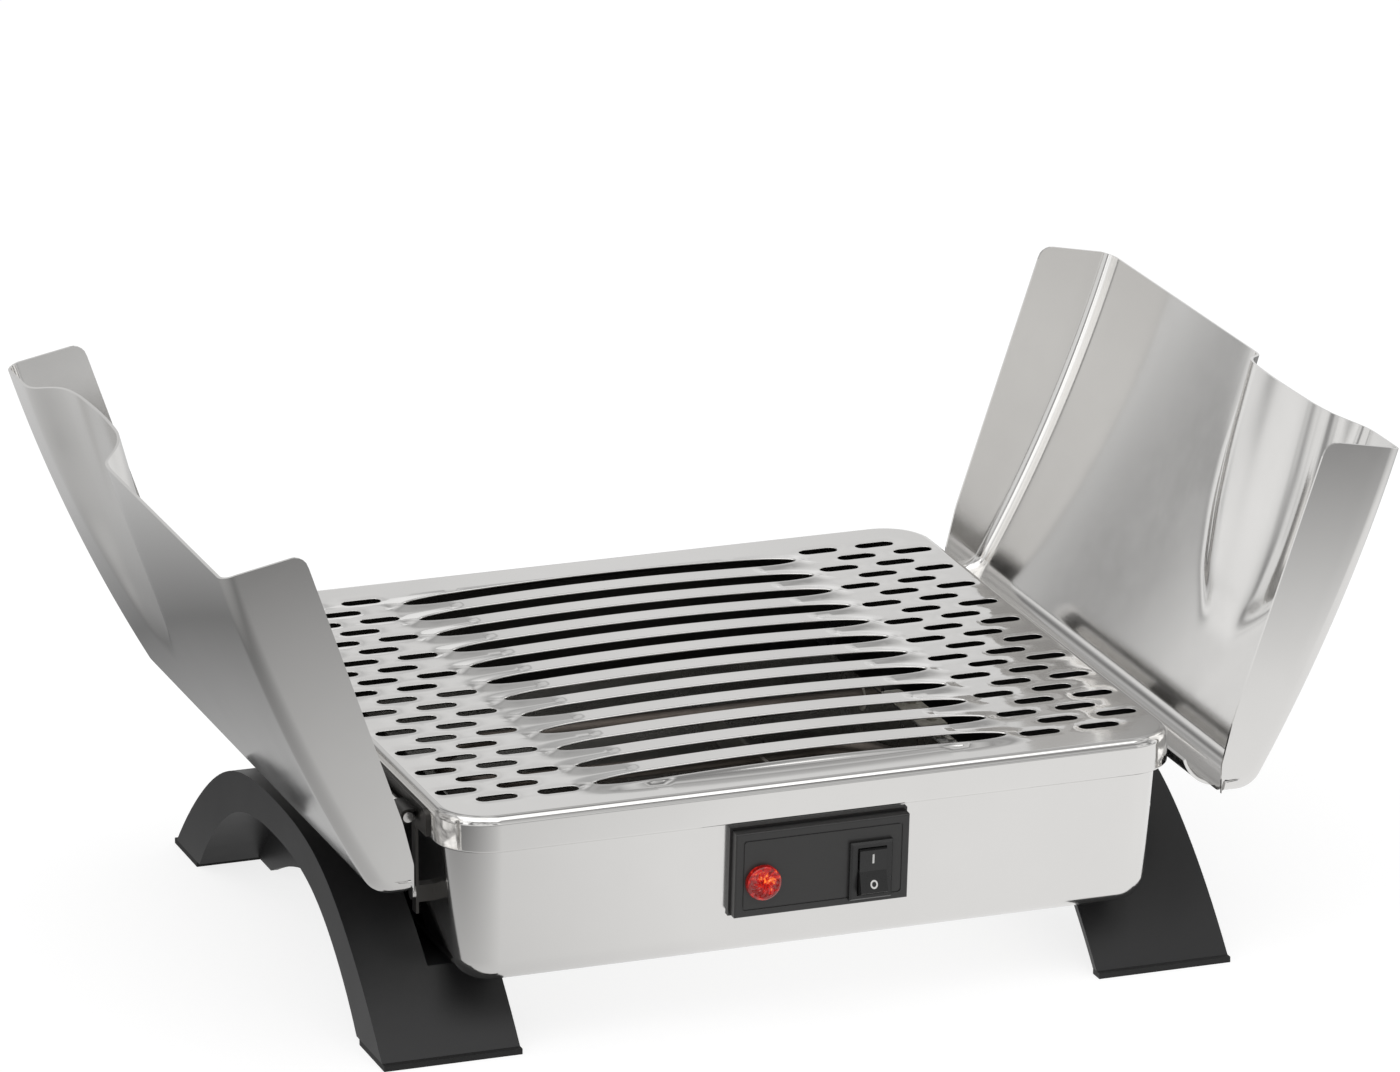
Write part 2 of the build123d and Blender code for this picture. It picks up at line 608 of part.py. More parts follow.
# The grip's sections: share of its fall from the top edge, of its depth, and of how far its
# sides have come in. The last one lies outside the sheet, so the dent runs out before it.
GRIP_SECTIONS = ((-0.15, 1.08, 0.0), (0.25, 0.86, 0.02), (0.55, 0.58, 0.13), (0.8, 0.28, 0.36),
                 (1.04, -0.1, 0.7))
# Across the grip: share of its width and of its depth
GRIP_ACROSS = ((0.06, 0.5), (0.17, 0.88), (0.45, 1.0), (0.76, 0.92), (0.92, 0.52))


def finger_grip(grow):
    """The dent pressed in at the top edge, as the space outside the sheet, grown by grow."""
    middle = (GRIP_INNER_Y + GRIP_OUTER_Y) / 2
    reach = GRIP_DEPTH
    sections = []
    for fall, deep, closed in GRIP_SECTIONS:
        distance = PANEL_LENGTH - fall * GRIP_FALL
        x, z = along_panel(distance)
        angle = RISE + distance / PANEL_BOW
        plane = Plane(origin=(x, 0, z), x_dir=(0, -1, 0), z_dir=(cos(angle), 0, sin(angle)))
        inner = GRIP_INNER_Y + (middle - GRIP_INNER_Y) * closed
        outer = GRIP_OUTER_Y - (GRIP_OUTER_Y - middle) * closed
        rim = GRIP_LIP - grow
        dent = [(inner - grow, rim)]
        for across, share in GRIP_ACROSS:
            y = inner + (outer - inner) * across + grow * (2 * across - 1)
            dent.append((y, -GRIP_DEPTH * deep * share - grow))
        dent.append((outer + grow, rim))
        outline = Spline(dent) + Polyline(dent[-1], (outer + grow, reach), (inner - grow, reach), dent[0])
        sections.append(plane * make_face(outline))
    return loft(sections)


def knuckle_spans(moving):
    """The hinge knuckles' (y0, y1) spans: three fixed, two that turn with the wing."""
    half = HINGE_LENGTH / 2
    if moving:
        inner = MIDDLE_KNUCKLE / 2 + KNUCKLE_GAP
        outer = half - END_KNUCKLE - KNUCKLE_GAP
        return [(-outer, -inner), (inner, outer)]
    middle = MIDDLE_KNUCKLE / 2
    return [(-half, -half + END_KNUCKLE), (-middle, middle), (half - END_KNUCKLE, half)]


def curl_strip(end_angle, y0, y1):
    """The curl's sheet from its bottom to an angle on the hinge side."""
    outer = CURL_RADIUS
    inner = CURL_RADIUS - SHEET
    half_way = (-90 + end_angle) / 2
    outline = ThreePointArc(curl_point(-90, outer), curl_point(half_way, outer), curl_point(end_angle, outer))
    outline += Line(curl_point(end_angle, outer), curl_point(end_angle, inner))
    outline += ThreePointArc(curl_point(end_angle, inner), curl_point(half_way, inner), curl_point(-90, inner))
    outline += Line(curl_point(-90, inner), curl_point(-90, outer))
    return front_profile(outline, y0, y1)


CURL_FREE_END = -165.0      # degrees, where the curl stops between the knuckles
CURL_KNUCKLE_END = -171.0   # degrees, where it meets a knuckle
CURL_FRONT = CURL_SETBACK - WING_DEPTH / 2
CURL_BACK = HINGE_LENGTH / 2 - END_KNUCKLE


def knuckle(y0, y1):
    """One hinge knuckle, not yet bored."""
    return rod(KNUCKLE_RADIUS, (HINGE_X, y0, HINGE_Z), (HINGE_X, y1, HINGE_Z))


def knuckle_bore(radius, y0, y1):
    """The pin's hole through a knuckle."""
    return rod(radius, (HINGE_X, y0 - CUT, HINGE_Z), (HINGE_X, y1 + CUT, HINGE_Z))


def right_wing():
    """Side wing: bowed panel with end flanges, finger grip, curl and rolled hinge knuckles."""
    sheet = (wing_blank() - finger_grip(0)) - (wing_hollow() - finger_grip(SHEET))
    sheet += curl_strip(CURL_FREE_END, CURL_FRONT, CURL_BACK)
    for y0, y1 in knuckle_spans(moving=True):
        sheet += curl_strip(CURL_KNUCKLE_END, y0, y1)
        sheet += knuckle(y0, y1)
        sheet -= knuckle_bore(PIN_RADIUS + PIN_CLEARANCE, y0, y1)
    return sheet


def right_hinge_bracket():
    """Leaf on the skirt with fixed knuckles, and two straps down to the tub's side."""
    face = SKIRT_FACE
    outer = face + SHEET
    low = SKIRT_BOTTOM + LEAF_LIFT
    leaf = slab(face, outer, -LEAF_LENGTH / 2, LEAF_LENGTH / 2, low, low + LEAF_HEIGHT)
    leaf = fillet(leaf.edges().filter_by(Axis.X).group_by(Axis.Z)[-1], LEAF_HEIGHT / 2 - CUT)
    top = HINGE_Z + KNUCKLE_RADIUS
    for y0, y1 in knuckle_spans(moving=False):
        leaf += slab(face, HINGE_X, y0, y1, top - SHEET, top) + knuckle(y0, y1)
        leaf -= knuckle_bore(PIN_RADIUS + PIN_CLEARANCE / 2, y0, y1)
    inside = tub_side(TUB_UNDERSIDE)
    for y in (-STRAP_Y, STRAP_Y):
        y0 = y - STRAP_WIDTH / 2
        y1 = y + STRAP_WIDTH / 2
        leaf += slab(face, outer, y0, y1, RIVET_Z - STRAP_END, low + CUT)
        leaf += slab(inside, outer, y0, y1, RIVET_Z - SPACER_HALF, RIVET_Z + SPACER_HALF)
    leaf -= tub_shell(0, TUB_UNDERSIDE)
    for y in (-STRAP_Y, STRAP_Y):
        leaf -= rod(RIVET_RADIUS + SCREW_CLEARANCE / 2, (inside, y, RIVET_Z), (outer + CUT, y, RIVET_Z))
    return leaf


def right_hinge_pin():
    """Hinge rod with a small head at both ends."""
    half = HINGE_LENGTH / 2
    start = half + SCREW_CLEARANCE
    end = start + PIN_HEAD
    pin = rod(PIN_RADIUS, (HINGE_X, -end, HINGE_Z), (HINGE_X, end, HINGE_Z))
    for side in (-1, 1):
        pin += rod(1.5 * PIN_RADIUS, (HINGE_X, side * start, HINGE_Z), (HINGE_X, side * end, HINGE_Z))
    return pin


def bracket_rivets():
    """Rivets that hold the straps to the tub's sides."""
    outside = SKIRT_FACE + SHEET
    inside = tub_side(RIVET_Z - SPACER_HALF) - 2 * SHEET
    shapes = []
    for side in (-1, 1):
        for y in (-STRAP_Y, STRAP_Y):
            shank = rod(RIVET_RADIUS, (side * inside, y, RIVET_Z), (side * outside, y, RIVET_Z))
            head = rod(RIVET_HEAD, (side * outside, y, RIVET_Z), (side * (outside + RIVET_HEIGHT), y, RIVET_Z))
            tail = rod(RIVET_TAIL, (side * (inside - SHEET), y, RIVET_Z), (side * inside, y, RIVET_Z))
            shapes.append(shank + head + tail)
    return group(shapes)


# ---------------------------------------------------------------- front panel
def panel_backing():
    """Thin plate between the tub's wall and the panel."""
    border = 2 * BACKING_BORDER
    plate = local_box(PANEL, 0, 0, PANEL_WIDTH + border, PANEL_HEIGHT + border, 0, BACKING_THICKNESS)
    return plate - panel_holes(-CUT, BACKING_THICKNESS + CUT)


def panel_holes(low, high):
    """Switch and lamp holes through the panel."""
    width = SWITCH_BODY_WIDTH + 2 * CONTROL_FIT
    height = SWITCH_BODY_HEIGHT + 2 * CONTROL_FIT
    hole = local_box(PANEL, SWITCH_X, -CONTROL_DROP, width, height, low, high)
    return hole + local_rod(PANEL, LAMP_X, -CONTROL_DROP, LAMP_BODY_RADIUS + CONTROL_FIT, low, high)


def border_plan(inset):
    """The panel's outline, inset from its edge, with round corners."""
    return RectangleRounded(PANEL_WIDTH - 2 * inset, PANEL_HEIGHT - 2 * inset, BORDER_INSET - inset / 2)


def control_panel():
    """Moulded panel with a hollow back, soft edges and an engraved border line."""
    plate = local_box(PANEL, 0, 0, PANEL_WIDTH, PANEL_HEIGHT, BACKING_THICKNESS, PANEL_FRONT)
    front = plate.faces().sort_by(PANEL_NORMAL)[-1]
    plate = fillet(front.edges(), PANEL_EDGE)
    hollow = local_box(PANEL, 0, 0, PANEL_WIDTH - 2 * PANEL_WALL, PANEL_HEIGHT - 2 * PANEL_WALL,
                       BACKING_THICKNESS - CUT, PANEL_FRONT - PANEL_FACE)
    line_plan = border_plan(BORDER_INSET) - border_plan(BORDER_INSET + BORDER_WIDTH)
    line = PANEL * Pos(0, 0, PANEL_FRONT - BORDER_DEPTH) * extrude(line_plan, CUT)
    seat = local_box(PANEL, SWITCH_X, -CONTROL_DROP, BEZEL_WIDTH, BEZEL_HEIGHT, BACKING_THICKNESS, FAR)
    return plate - hollow - (line - seat) - panel_holes(-CUT, PANEL_FRONT + CUT)


def lamp_lens():
    """Round lens with a soft rim."""
    lens = local_rod(PANEL, LAMP_X, -CONTROL_DROP, LAMP_RADIUS, PANEL_FRONT, PANEL_FRONT + LENS_HEIGHT)
    rim = lens.faces().sort_by(PANEL_NORMAL)[-1].edges()
    return fillet(rim, LENS_HEIGHT * 0.4)


def lamp_body():
    """Lamp holder behind the lens."""
    return local_rod(PANEL, LAMP_X, -CONTROL_DROP, LAMP_BODY_RADIUS, -LAMP_BODY_DEPTH, PANEL_FRONT)


def pivot_rod(radius, half_width):
    """A bar along the rocker's pivot axis."""
    centre = PANEL.from_local_coords((SWITCH_X, -CONTROL_DROP, PIVOT_DEPTH))
    start = (centre.X - half_width, centre.Y, centre.Z)
    return rod(radius, start, (centre.X + half_width, centre.Y, centre.Z))


def switch_body():
    """Switch housing with its bezel and the round well that the rocker turns in."""
    back = PANEL_FRONT - SWITCH_BODY_DEPTH
    body = local_box(PANEL, SWITCH_X, -CONTROL_DROP, SWITCH_BODY_WIDTH, SWITCH_BODY_HEIGHT, back, PANEL_FRONT)
    bezel = local_box(PANEL, SWITCH_X, -CONTROL_DROP, BEZEL_WIDTH, BEZEL_HEIGHT,
                      PANEL_FRONT, PANEL_FRONT + BEZEL_THICKNESS)
    bezel = chamfer(bezel.faces().sort_by(PANEL_NORMAL)[-1].edges(), BEZEL_CHAMFER)
    well = pivot_rod(ROCKER_RADIUS + ROCKER_GAP, ROCKER_WIDTH / 2 + ROCKER_GAP)
    mouth = local_box(PANEL, SWITCH_X, -CONTROL_DROP, ROCKER_WIDTH + 2 * ROCKER_GAP,
                      2 * (ROCKER_RADIUS + ROCKER_GAP), PIVOT_DEPTH, PANEL_FRONT + 2 * BEZEL_THICKNESS)
    bearing = pivot_rod(PIVOT_RADIUS + PIN_CLEARANCE, ROCKER_WIDTH / 2 + PIVOT_STUB + SCREW_CLEARANCE)
    return body + bezel - well - mouth - bearing


def switch_rocker():
    """Rocker with two flat faces that meet at a shallow angle, drawn pressed at the top."""
    barrel = pivot_rod(ROCKER_RADIUS, ROCKER_WIDTH / 2)
    crest = PANEL_FRONT + BEZEL_THICKNESS + ROCKER_CREST
    tilt = tan(radians(ROCKER_THROW)) * ROCKER_RADIUS
    reach = ROCKER_RADIUS
    low = PIVOT_DEPTH - ROCKER_DEPTH
    outline = Polyline((-reach, low), (reach, low), (reach, crest + tilt), (0, crest), (-reach, crest + tilt),
                       close=True)
    side = Plane(origin=PANEL.from_local_coords((SWITCH_X - ROCKER_WIDTH / 2, -CONTROL_DROP, 0)),
                 x_dir=PANEL.y_dir, z_dir=(1, 0, 0))
    block = extrude(side * make_face(outline), ROCKER_WIDTH)
    rocker = (barrel & block) + pivot_rod(PIVOT_RADIUS, ROCKER_WIDTH / 2 + PIVOT_STUB)
    centre = PANEL.from_local_coords((SWITCH_X, -CONTROL_DROP, PIVOT_DEPTH))
    return rocker.rotate(Axis(centre, (1, 0, 0)), -ROCKER_THROW)


def switch_terminals():
    """Three blade terminals behind the switch."""
    back = PANEL_FRONT - SWITCH_BODY_DEPTH
    return group(local_box(PANEL, SWITCH_X, y - CONTROL_DROP, BLADE_WIDTH, BLADE_THICKNESS,
                           back - BLADE_LENGTH, back)
                 for y in (-BLADE_PITCH, 0, BLADE_PITCH))


# ---------------------------------------------------------------- heater and electrics
def reflector_tray():
    """Folded tray under the heater with turned-up sides."""
    half = TRAY_HALF_WIDTH
    rim = TRAY_FLOOR + TRAY_HEIGHT
    tray = slab(-half, half, TRAY_FRONT, TRAY_BACK, TRAY_FLOOR, rim)
    tray -= slab(TRAY_SHEET - half, half - TRAY_SHEET, TRAY_FRONT + TRAY_SHEET, TRAY_BACK - TRAY_SHEET,
                 TRAY_FLOOR + TRAY_SHEET, rim + CUT)
    for y in end_rows():
        hole = ELEMENT_RADIUS + BUSH_WALL + ELEMENT_FIT
        tray -= rod(hole, (half - 2 * TRAY_SHEET, y, ELEMENT_Z), (half + CUT, y, ELEMENT_Z))
    return tray


def tray_standoffs():
    """Four spacers between the tub's floor and the tray."""
    return group(rod(STANDOFF_RADIUS, (x, y, TUB_FLOOR), (x, y, TRAY_FLOOR)) for x, y in STANDOFFS)


def element_rows():
    """Y of the heater's straight legs."""
    return [(i - (ELEMENT_LEGS - 1) / 2) * ELEMENT_LEG_PITCH for i in range(ELEMENT_LEGS)]


def end_rows():
    """Y of the two legs whose ends leave the tray."""
    return [element_rows()[0], element_rows()[-1]]


def heating_element():
    """Sheathed tubular heater, bent to and fro with both ends at the right."""
    rows = element_rows()
    bend = ELEMENT_LEG_PITCH / 2
    turn = ELEMENT_TURN_X
    path = Line((ELEMENT_END_X, rows[0], ELEMENT_Z), (bend - turn, rows[0], ELEMENT_Z))
    side = -1
    for y, following in zip(rows, rows[1:]):
        x = side * (turn - bend)
        middle = (side * turn, (y + following) / 2, ELEMENT_Z)
        path += ThreePointArc((x, y, ELEMENT_Z), middle, (x, following, ELEMENT_Z))
        end = ELEMENT_END_X if following == rows[-1] else -x
        path += Line((x, following, ELEMENT_Z), (end, following, ELEMENT_Z))
        side = -side
    start = Plane(origin=(ELEMENT_END_X, rows[0], ELEMENT_Z), z_dir=(-1, 0, 0))
    return sweep(start * Circle(ELEMENT_RADIUS), path=path)


def element_bushes():
    """Insulating bushes where the heater's ends leave the tray."""
    outside = TRAY_HALF_WIDTH
    inside = outside - TRAY_SHEET
    end = inside + BUSH_LENGTH
    shapes = []
    for y in end_rows():
        bush = rod(ELEMENT_RADIUS + BUSH_WALL, (inside, y, ELEMENT_Z), (outside, y, ELEMENT_Z))
        bush += rod(ELEMENT_RADIUS + BUSH_FLANGE, (outside, y, ELEMENT_Z), (end, y, ELEMENT_Z))
        bore = ELEMENT_RADIUS + ELEMENT_FIT
        shapes.append(bush - rod(bore, (inside - CUT, y, ELEMENT_Z), (end + CUT, y, ELEMENT_Z)))
    return group(shapes)


def element_supports():
    """Two notched strips on the tray's floor that the heater's legs lie in."""
    end_y = element_rows()[-1] + SUPPORT_END
    shapes = []
    for x in (-SUPPORT_X, SUPPORT_X):
        strip = slab(x, x + SUPPORT_SHEET, -end_y, end_y, TRAY_FLOOR + TRAY_SHEET, ELEMENT_Z)
        notch = ELEMENT_RADIUS + ELEMENT_FIT
        for y in element_rows():
            strip -= rod(notch, (x - CUT, y, ELEMENT_Z), (x + SUPPORT_SHEET + CUT, y, ELEMENT_Z))
        shapes.append(strip)
    return group(shapes)


def thermostat():
    """Disc thermostat on the tray's side."""
    x = TRAY_HALF_WIDTH
    z = ELEMENT_Z - CUT
    disc = rod(THERMOSTAT_RADIUS, (x, 0, z), (x + THERMOSTAT_BODY, 0, z))
    return disc + rod(THERMOSTAT_CAP, (x, 0, z), (x + THERMOSTAT_LENGTH, 0, z))


def thermal_fuse():
    """Safety cut-out capsule in its saddle beside the thermostat."""
    x = TRAY_HALF_WIDTH
    z = ELEMENT_Z - CUT
    saddle = slab(x, x + SADDLE_SHEET, FUSE_Y - SADDLE_LENGTH / 2, FUSE_Y + SADDLE_LENGTH / 2,
                  z - SADDLE_HEIGHT / 2, z + SADDLE_HEIGHT / 2)
    axis_x = x + SADDLE_SHEET + FUSE_RADIUS - FUSE_GRIP
    half = FUSE_LENGTH / 2
    return saddle + rod(FUSE_RADIUS, (axis_x, FUSE_Y - half, z), (axis_x, FUSE_Y + half, z))


def terminal_block():
    """Screw terminal block on the tub's floor."""
    top = TUB_FLOOR + BLOCK_HEIGHT
    block = slab(BLOCK_INNER_X, BLOCK_OUTER_X, BLOCK_FRONT, BLOCK_FRONT + BLOCK_LENGTH, TUB_FLOOR, top)
    x = BLOCK_OUTER_X - BLOCK_HOLE_INSET
    for way in range(BLOCK_WAYS):
        y = BLOCK_FRONT + BLOCK_LENGTH * (way + 0.5) / BLOCK_WAYS
        block -= rod(BLOCK_HOLE, (x, y, TUB_FLOOR + BLOCK_HEIGHT / 2), (x, y, top + CUT))
    return block


def lead(points, radii):
    """One insulated lead along straight runs joined by arcs."""
    path = FilletPolyline(*points, radius=radii)
    first = Vector(*points[0])
    plane = Plane(origin=first, z_dir=Vector(*points[1]) - first)
    return sweep(plane * Circle(LEAD_RADIUS), path=path)


def front_lead(x, y, depth, run, lane, stacked=0.0):
    """A lead from a place behind the panel along the front, then beside the tray to the block."""
    start = PANEL.from_local_coords((x, y - CONTROL_DROP, depth - LEAD_GAP))
    across_y = PANEL.from_local_coords((x, -CONTROL_DROP, depth)).Y + run
    lane_x = LANE_X + lane * LANE_PITCH
    lane_z = LANE_Z + stacked
    fall_y = across_y + LEAD_FALL + 2 * stacked
    points = [tuple(start), (x, across_y, start.Z), (lane_x, across_y, start.Z),
              (lane_x, fall_y, lane_z), (lane_x, BLOCK_FRONT - LEAD_GAP, lane_z)]
    return lead(points, [BEND_SMALL, BEND_MIDDLE, BEND_LARGE])


def switch_leads():
    """Two leads from the switch's blades to the terminal block."""
    back = PANEL_FRONT - SWITCH_BODY_DEPTH - BLADE_LENGTH
    return group([front_lead(SWITCH_X, -BLADE_PITCH, back, SWITCH_LEAD_RUN, 1),
                  front_lead(SWITCH_X, 0, back, SWITCH_LEAD_RUN, 2)])


def lamp_leads():
    """Two leads from the lamp holder to the terminal block, one above the other."""
    side = LAMP_LEAD_PITCH / 2
    return group([front_lead(LAMP_X, -side, -LAMP_BODY_DEPTH, LAMP_LEAD_RUN, 0),
                  front_lead(LAMP_X, side, -LAMP_BODY_DEPTH, LAMP_LEAD_RUN, 0, LANE_STACK)])


def element_leads():
    """Leads from the heater's ends to the terminal block."""
    front_y, back_y = end_rows()
    z = TUB_FLOOR + 2 * BLOCK_HEIGHT / 3
    x = LANE_X + ELEMENT_LANE * LANE_PITCH
    start = ELEMENT_END_X + LEAD_GAP
    first = lead([(start, front_y, ELEMENT_Z), (x, front_y, ELEMENT_Z), (x, front_y + LEAD_FALL, z),
                  (x, BLOCK_FRONT - LEAD_GAP, z)], [BEND_MIDDLE, BEND_LARGE])
    top = TUB_FLOOR + BLOCK_HEIGHT + LEAD_GAP
    x = (BLOCK_INNER_X + BLOCK_OUTER_X) / 2
    second = lead([(start, back_y, ELEMENT_Z), (x, back_y, ELEMENT_Z), (x, back_y, top)], [BEND_TIGHT])
    return group([first, second])


def earth_stud():
    """Earth stud with its washer and nut on the tub's floor."""
    x = BLOCK_INNER_X + EARTH_INSET
    y = TUB_DEPTH / 2 - EARTH_SETBACK
    washer_top = TUB_FLOOR + SHEET
    stud = rod(FOOT_SCREW_RADIUS, (x, y, TUB_FLOOR), (x, y, TUB_FLOOR + EARTH_LENGTH))
    washer = rod(EARTH_WASHER, (x, y, TUB_FLOOR), (x, y, washer_top))
    return stud + washer + Pos(x, y, washer_top) * extrude(RegularPolygon(NUT_RADIUS, 6), NUT_HEIGHT)


def cord_gland():
    """Strain-relief gland through the back wall, with its flange outside."""
    body = local_rod(GLAND, 0, 0, GLAND_FLANGE, 0, GLAND_RIM)
    body += local_rod(GLAND, 0, 0, GLAND_SLEEVE, -GLAND_REACH, 0)
    body += local_rod(GLAND, 0, 0, GLAND_SLEEVE + GLAND_COLLAR, GLAND_RIM, GLAND_REACH)
    body -= local_rod(GLAND, 0, 0, GLAND_RELIEF, -GLAND_REACH - CUT, GLAND_SEAT)
    return body - local_rod(GLAND, 0, 0, GLAND_BORE, 0, GLAND_REACH + CUT)


def gland_nut():
    """Hexagon nut inside the back wall."""
    ring = RegularPolygon(GLAND_NUT, 6) - Circle(GLAND_SLEEVE + ELEMENT_FIT)
    return GLAND * Pos(0, 0, -WALL_THICKNESS - GLAND_NUT_HEIGHT) * extrude(ring, GLAND_NUT_HEIGHT)


def main():
    """Build every sub-part and write it."""
    os.makedirs("parts", exist_ok=True)
    wing = right_wing()
    bracket = right_hinge_bracket()
    pin = right_hinge_pin()
    foot = right_foot()
    pads = right_foot_pads()
    pairs = {"wing": wing, "hinge_bracket": bracket, "hinge_pin": pin, "foot": foot, "foot_pads": pads}
    for name, shape in pairs.items():
        save(shape, f"right_{name}")
        save(turned(shape), f"left_{name}")
    singles = (top_cover, housing_tub, bracket_rivets, foot_screws, foot_nuts, panel_backing,
               control_panel, lamp_lens, lamp_body, switch_body, switch_rocker, switch_terminals,
               reflector_tray, tray_standoffs, heating_element, element_bushes, element_supports,
               thermostat, thermal_fuse, terminal_block, switch_leads, lamp_leads, element_leads,
               earth_stud, cord_gland, gland_nut)
    for make in singles:
        save(make(), make.__name__)


main()
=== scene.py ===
import math

import bpy
import numpy as np
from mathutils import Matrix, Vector
from mathutils.geometry import delaunay_2d_cdt


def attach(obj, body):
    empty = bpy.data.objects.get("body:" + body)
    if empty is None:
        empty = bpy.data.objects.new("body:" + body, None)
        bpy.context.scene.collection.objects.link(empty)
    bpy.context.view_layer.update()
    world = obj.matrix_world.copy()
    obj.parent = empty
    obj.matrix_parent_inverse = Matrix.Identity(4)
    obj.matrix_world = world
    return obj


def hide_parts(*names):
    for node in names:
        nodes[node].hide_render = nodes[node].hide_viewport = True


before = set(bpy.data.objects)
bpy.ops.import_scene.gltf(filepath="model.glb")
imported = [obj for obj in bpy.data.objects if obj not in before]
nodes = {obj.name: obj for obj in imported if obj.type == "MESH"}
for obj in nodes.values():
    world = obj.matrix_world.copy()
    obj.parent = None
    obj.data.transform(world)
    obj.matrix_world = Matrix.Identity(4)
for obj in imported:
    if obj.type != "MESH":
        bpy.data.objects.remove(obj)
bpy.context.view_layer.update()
MM = 0.001

# Feet. Each foot is one black injection moulding: an arched box beside the tub and a ledge
# under it. The plastic has a fine spark-eroded grain that breaks up its shine.

FOOT_COLOUR = (0.009, 0.009, 0.0095)


def join(tree, source, result, target, socket):
    """A link from one node's result to another node's socket."""
    tree.links.new(source.outputs[result], target.inputs[socket])


def new_material(name):
    """A node material with its Principled shader and a Bump that feeds the normal."""
    material = bpy.data.materials.new(name)
    material.use_nodes = True
    tree = material.node_tree
    shader = tree.nodes["Principled BSDF"]
    bump = tree.nodes.new("ShaderNodeBump")
    join(tree, bump, "Normal", shader, "Normal")
    return material, tree, shader, bump


def add_node(tree, kind, **values):
    """A node with its input sockets or settings set by name."""
    node = tree.nodes.new(kind)
    for key, value in values.items():
        label = key.replace("_", " ")
        if label in node.inputs:
            node.inputs[label].default_value = value
        else:
            setattr(node, key, value)
    return node


def surface_group(name, inputs, outputs):
    """An empty group with the named float inputs (value) and float outputs."""
    tree = bpy.data.node_groups.new(name, "ShaderNodeTree")
    for label, value in inputs.items():
        socket = tree.interface.new_socket(label, in_out="INPUT", socket_type="NodeSocketFloat")
        socket.default_value = value
    for label in outputs:
        tree.interface.new_socket(label, in_out="OUTPUT", socket_type="NodeSocketFloat")
    start = tree.nodes.new("NodeGroupInput")
    end = tree.nodes.new("NodeGroupOutput")
    return tree, start, end


def place_group(tree, group, **values):
    """The group placed in a material with its own values."""
    node = tree.nodes.new("ShaderNodeGroup")
    node.node_tree = group
    for key, value in values.items():
        node.inputs[key.replace("_", " ")].default_value = value
    return node


def gloss_range(tree, start, end, source, low=0.0, high=1.0):
    """A group's roughness: a noise, spread from its Gloss Low to its Gloss High."""
    gloss = add_node(tree, "ShaderNodeMapRange", clamp=True, From_Min=low, From_Max=high)
    join(tree, source, "Fac", gloss, "Value")
    join(tree, start, "Gloss Low", gloss, "To Min")
    join(tree, start, "Gloss High", gloss, "To Max")
    join(tree, gloss, "Result", end, "Roughness")


def moulded_grain_group():
    """Fine grain for mouldings: an uneven gloss, a small relief and a faint cloudiness."""
    inputs = {"Grain Scale": 900.0, "Gloss Low": 0.35, "Gloss High": 0.5}
    tree, start, end = surface_group("moulded_grain", inputs, ("Roughness", "Height", "Cloud"))
    place = add_node(tree, "ShaderNodeTexCoord")
    fine = add_node(tree, "ShaderNodeTexNoise", Detail=3.0, Roughness=0.6)
    broad = add_node(tree, "ShaderNodeTexNoise", Scale=28.0, Detail=4.0)
    for noise in (fine, broad):
        join(tree, place, "Object", noise, "Vector")
    join(tree, start, "Grain Scale", fine, "Scale")
    gloss_range(tree, start, end, broad)
    join(tree, fine, "Fac", end, "Height")
    join(tree, broad, "Fac", end, "Cloud")
    return tree


moulded_grain = moulded_grain_group()


def two_tones(tree, mask, colour, other, shader):
    """Base Color that changes from one colour to the other with a mask."""
    tones = add_node(tree, "ShaderNodeMix", data_type="RGBA")
    for socket in tones.inputs:
        if socket.type == "RGBA":
            socket.default_value = (*(colour if socket.name == "A" else other), 1)
    tree.links.new(mask, tones.inputs["Factor"])
    result = [socket for socket in tones.outputs if socket.type == "RGBA"][0]
    tree.links.new(result, shader.inputs["Base Color"])


def moulded_plastic(name, colour, low, high, relief, scale=900.0):
    """Grained plastic, slightly cloudy in colour."""
    material, tree, shader, bump = new_material(name)
    shader.inputs["IOR"].default_value = 1.5
    grain = place_group(tree, moulded_grain, Grain_Scale=scale, Gloss_Low=low, Gloss_High=high)
    bump.inputs["Strength"].default_value = relief
    bump.inputs["Distance"].default_value = 0.00005
    lighter = tuple(channel * 1.35 for channel in colour)
    two_tones(tree, grain.outputs["Cloud"], colour, lighter, shader)
    join(tree, grain, "Roughness", shader, "Roughness")
    join(tree, grain, "Height", bump, "Height")
    return material


def dress(name, material, soften=0.0):
    """Give a CAD node its material, soft edges and even shading."""
    node = nodes[name]
    node.data.materials.clear()
    node.data.materials.append(material)
    if soften:
        bevel = node.modifiers.new("edges", "BEVEL")
        bevel.width = soften
        bevel.segments = 2
        bevel.limit_method = "ANGLE"
        bevel.angle_limit = math.radians(40)
    even = node.modifiers.new("even", "WEIGHTED_NORMAL")
    even.keep_sharp = True
    return node


foot_plastic = moulded_plastic("foot_plastic", FOOT_COLOUR, 0.36, 0.48, 0.30)
pad_rubber = moulded_plastic("pad_rubber", (0.010, 0.010, 0.010), 0.6, 0.75, 0.5)
for side in ("left", "right"):
    dress(f"{side}_foot", foot_plastic)
    dress(f"{side}_foot_pads", pad_rubber)

# Screws and nuts of the feet, hinge pins, rivets, standoffs and the earth stud, all zinc plated
# or plain steel with a dull shine. The stamped hinge brackets are blackened.

PLATED_COLOUR = (0.52, 0.515, 0.50)


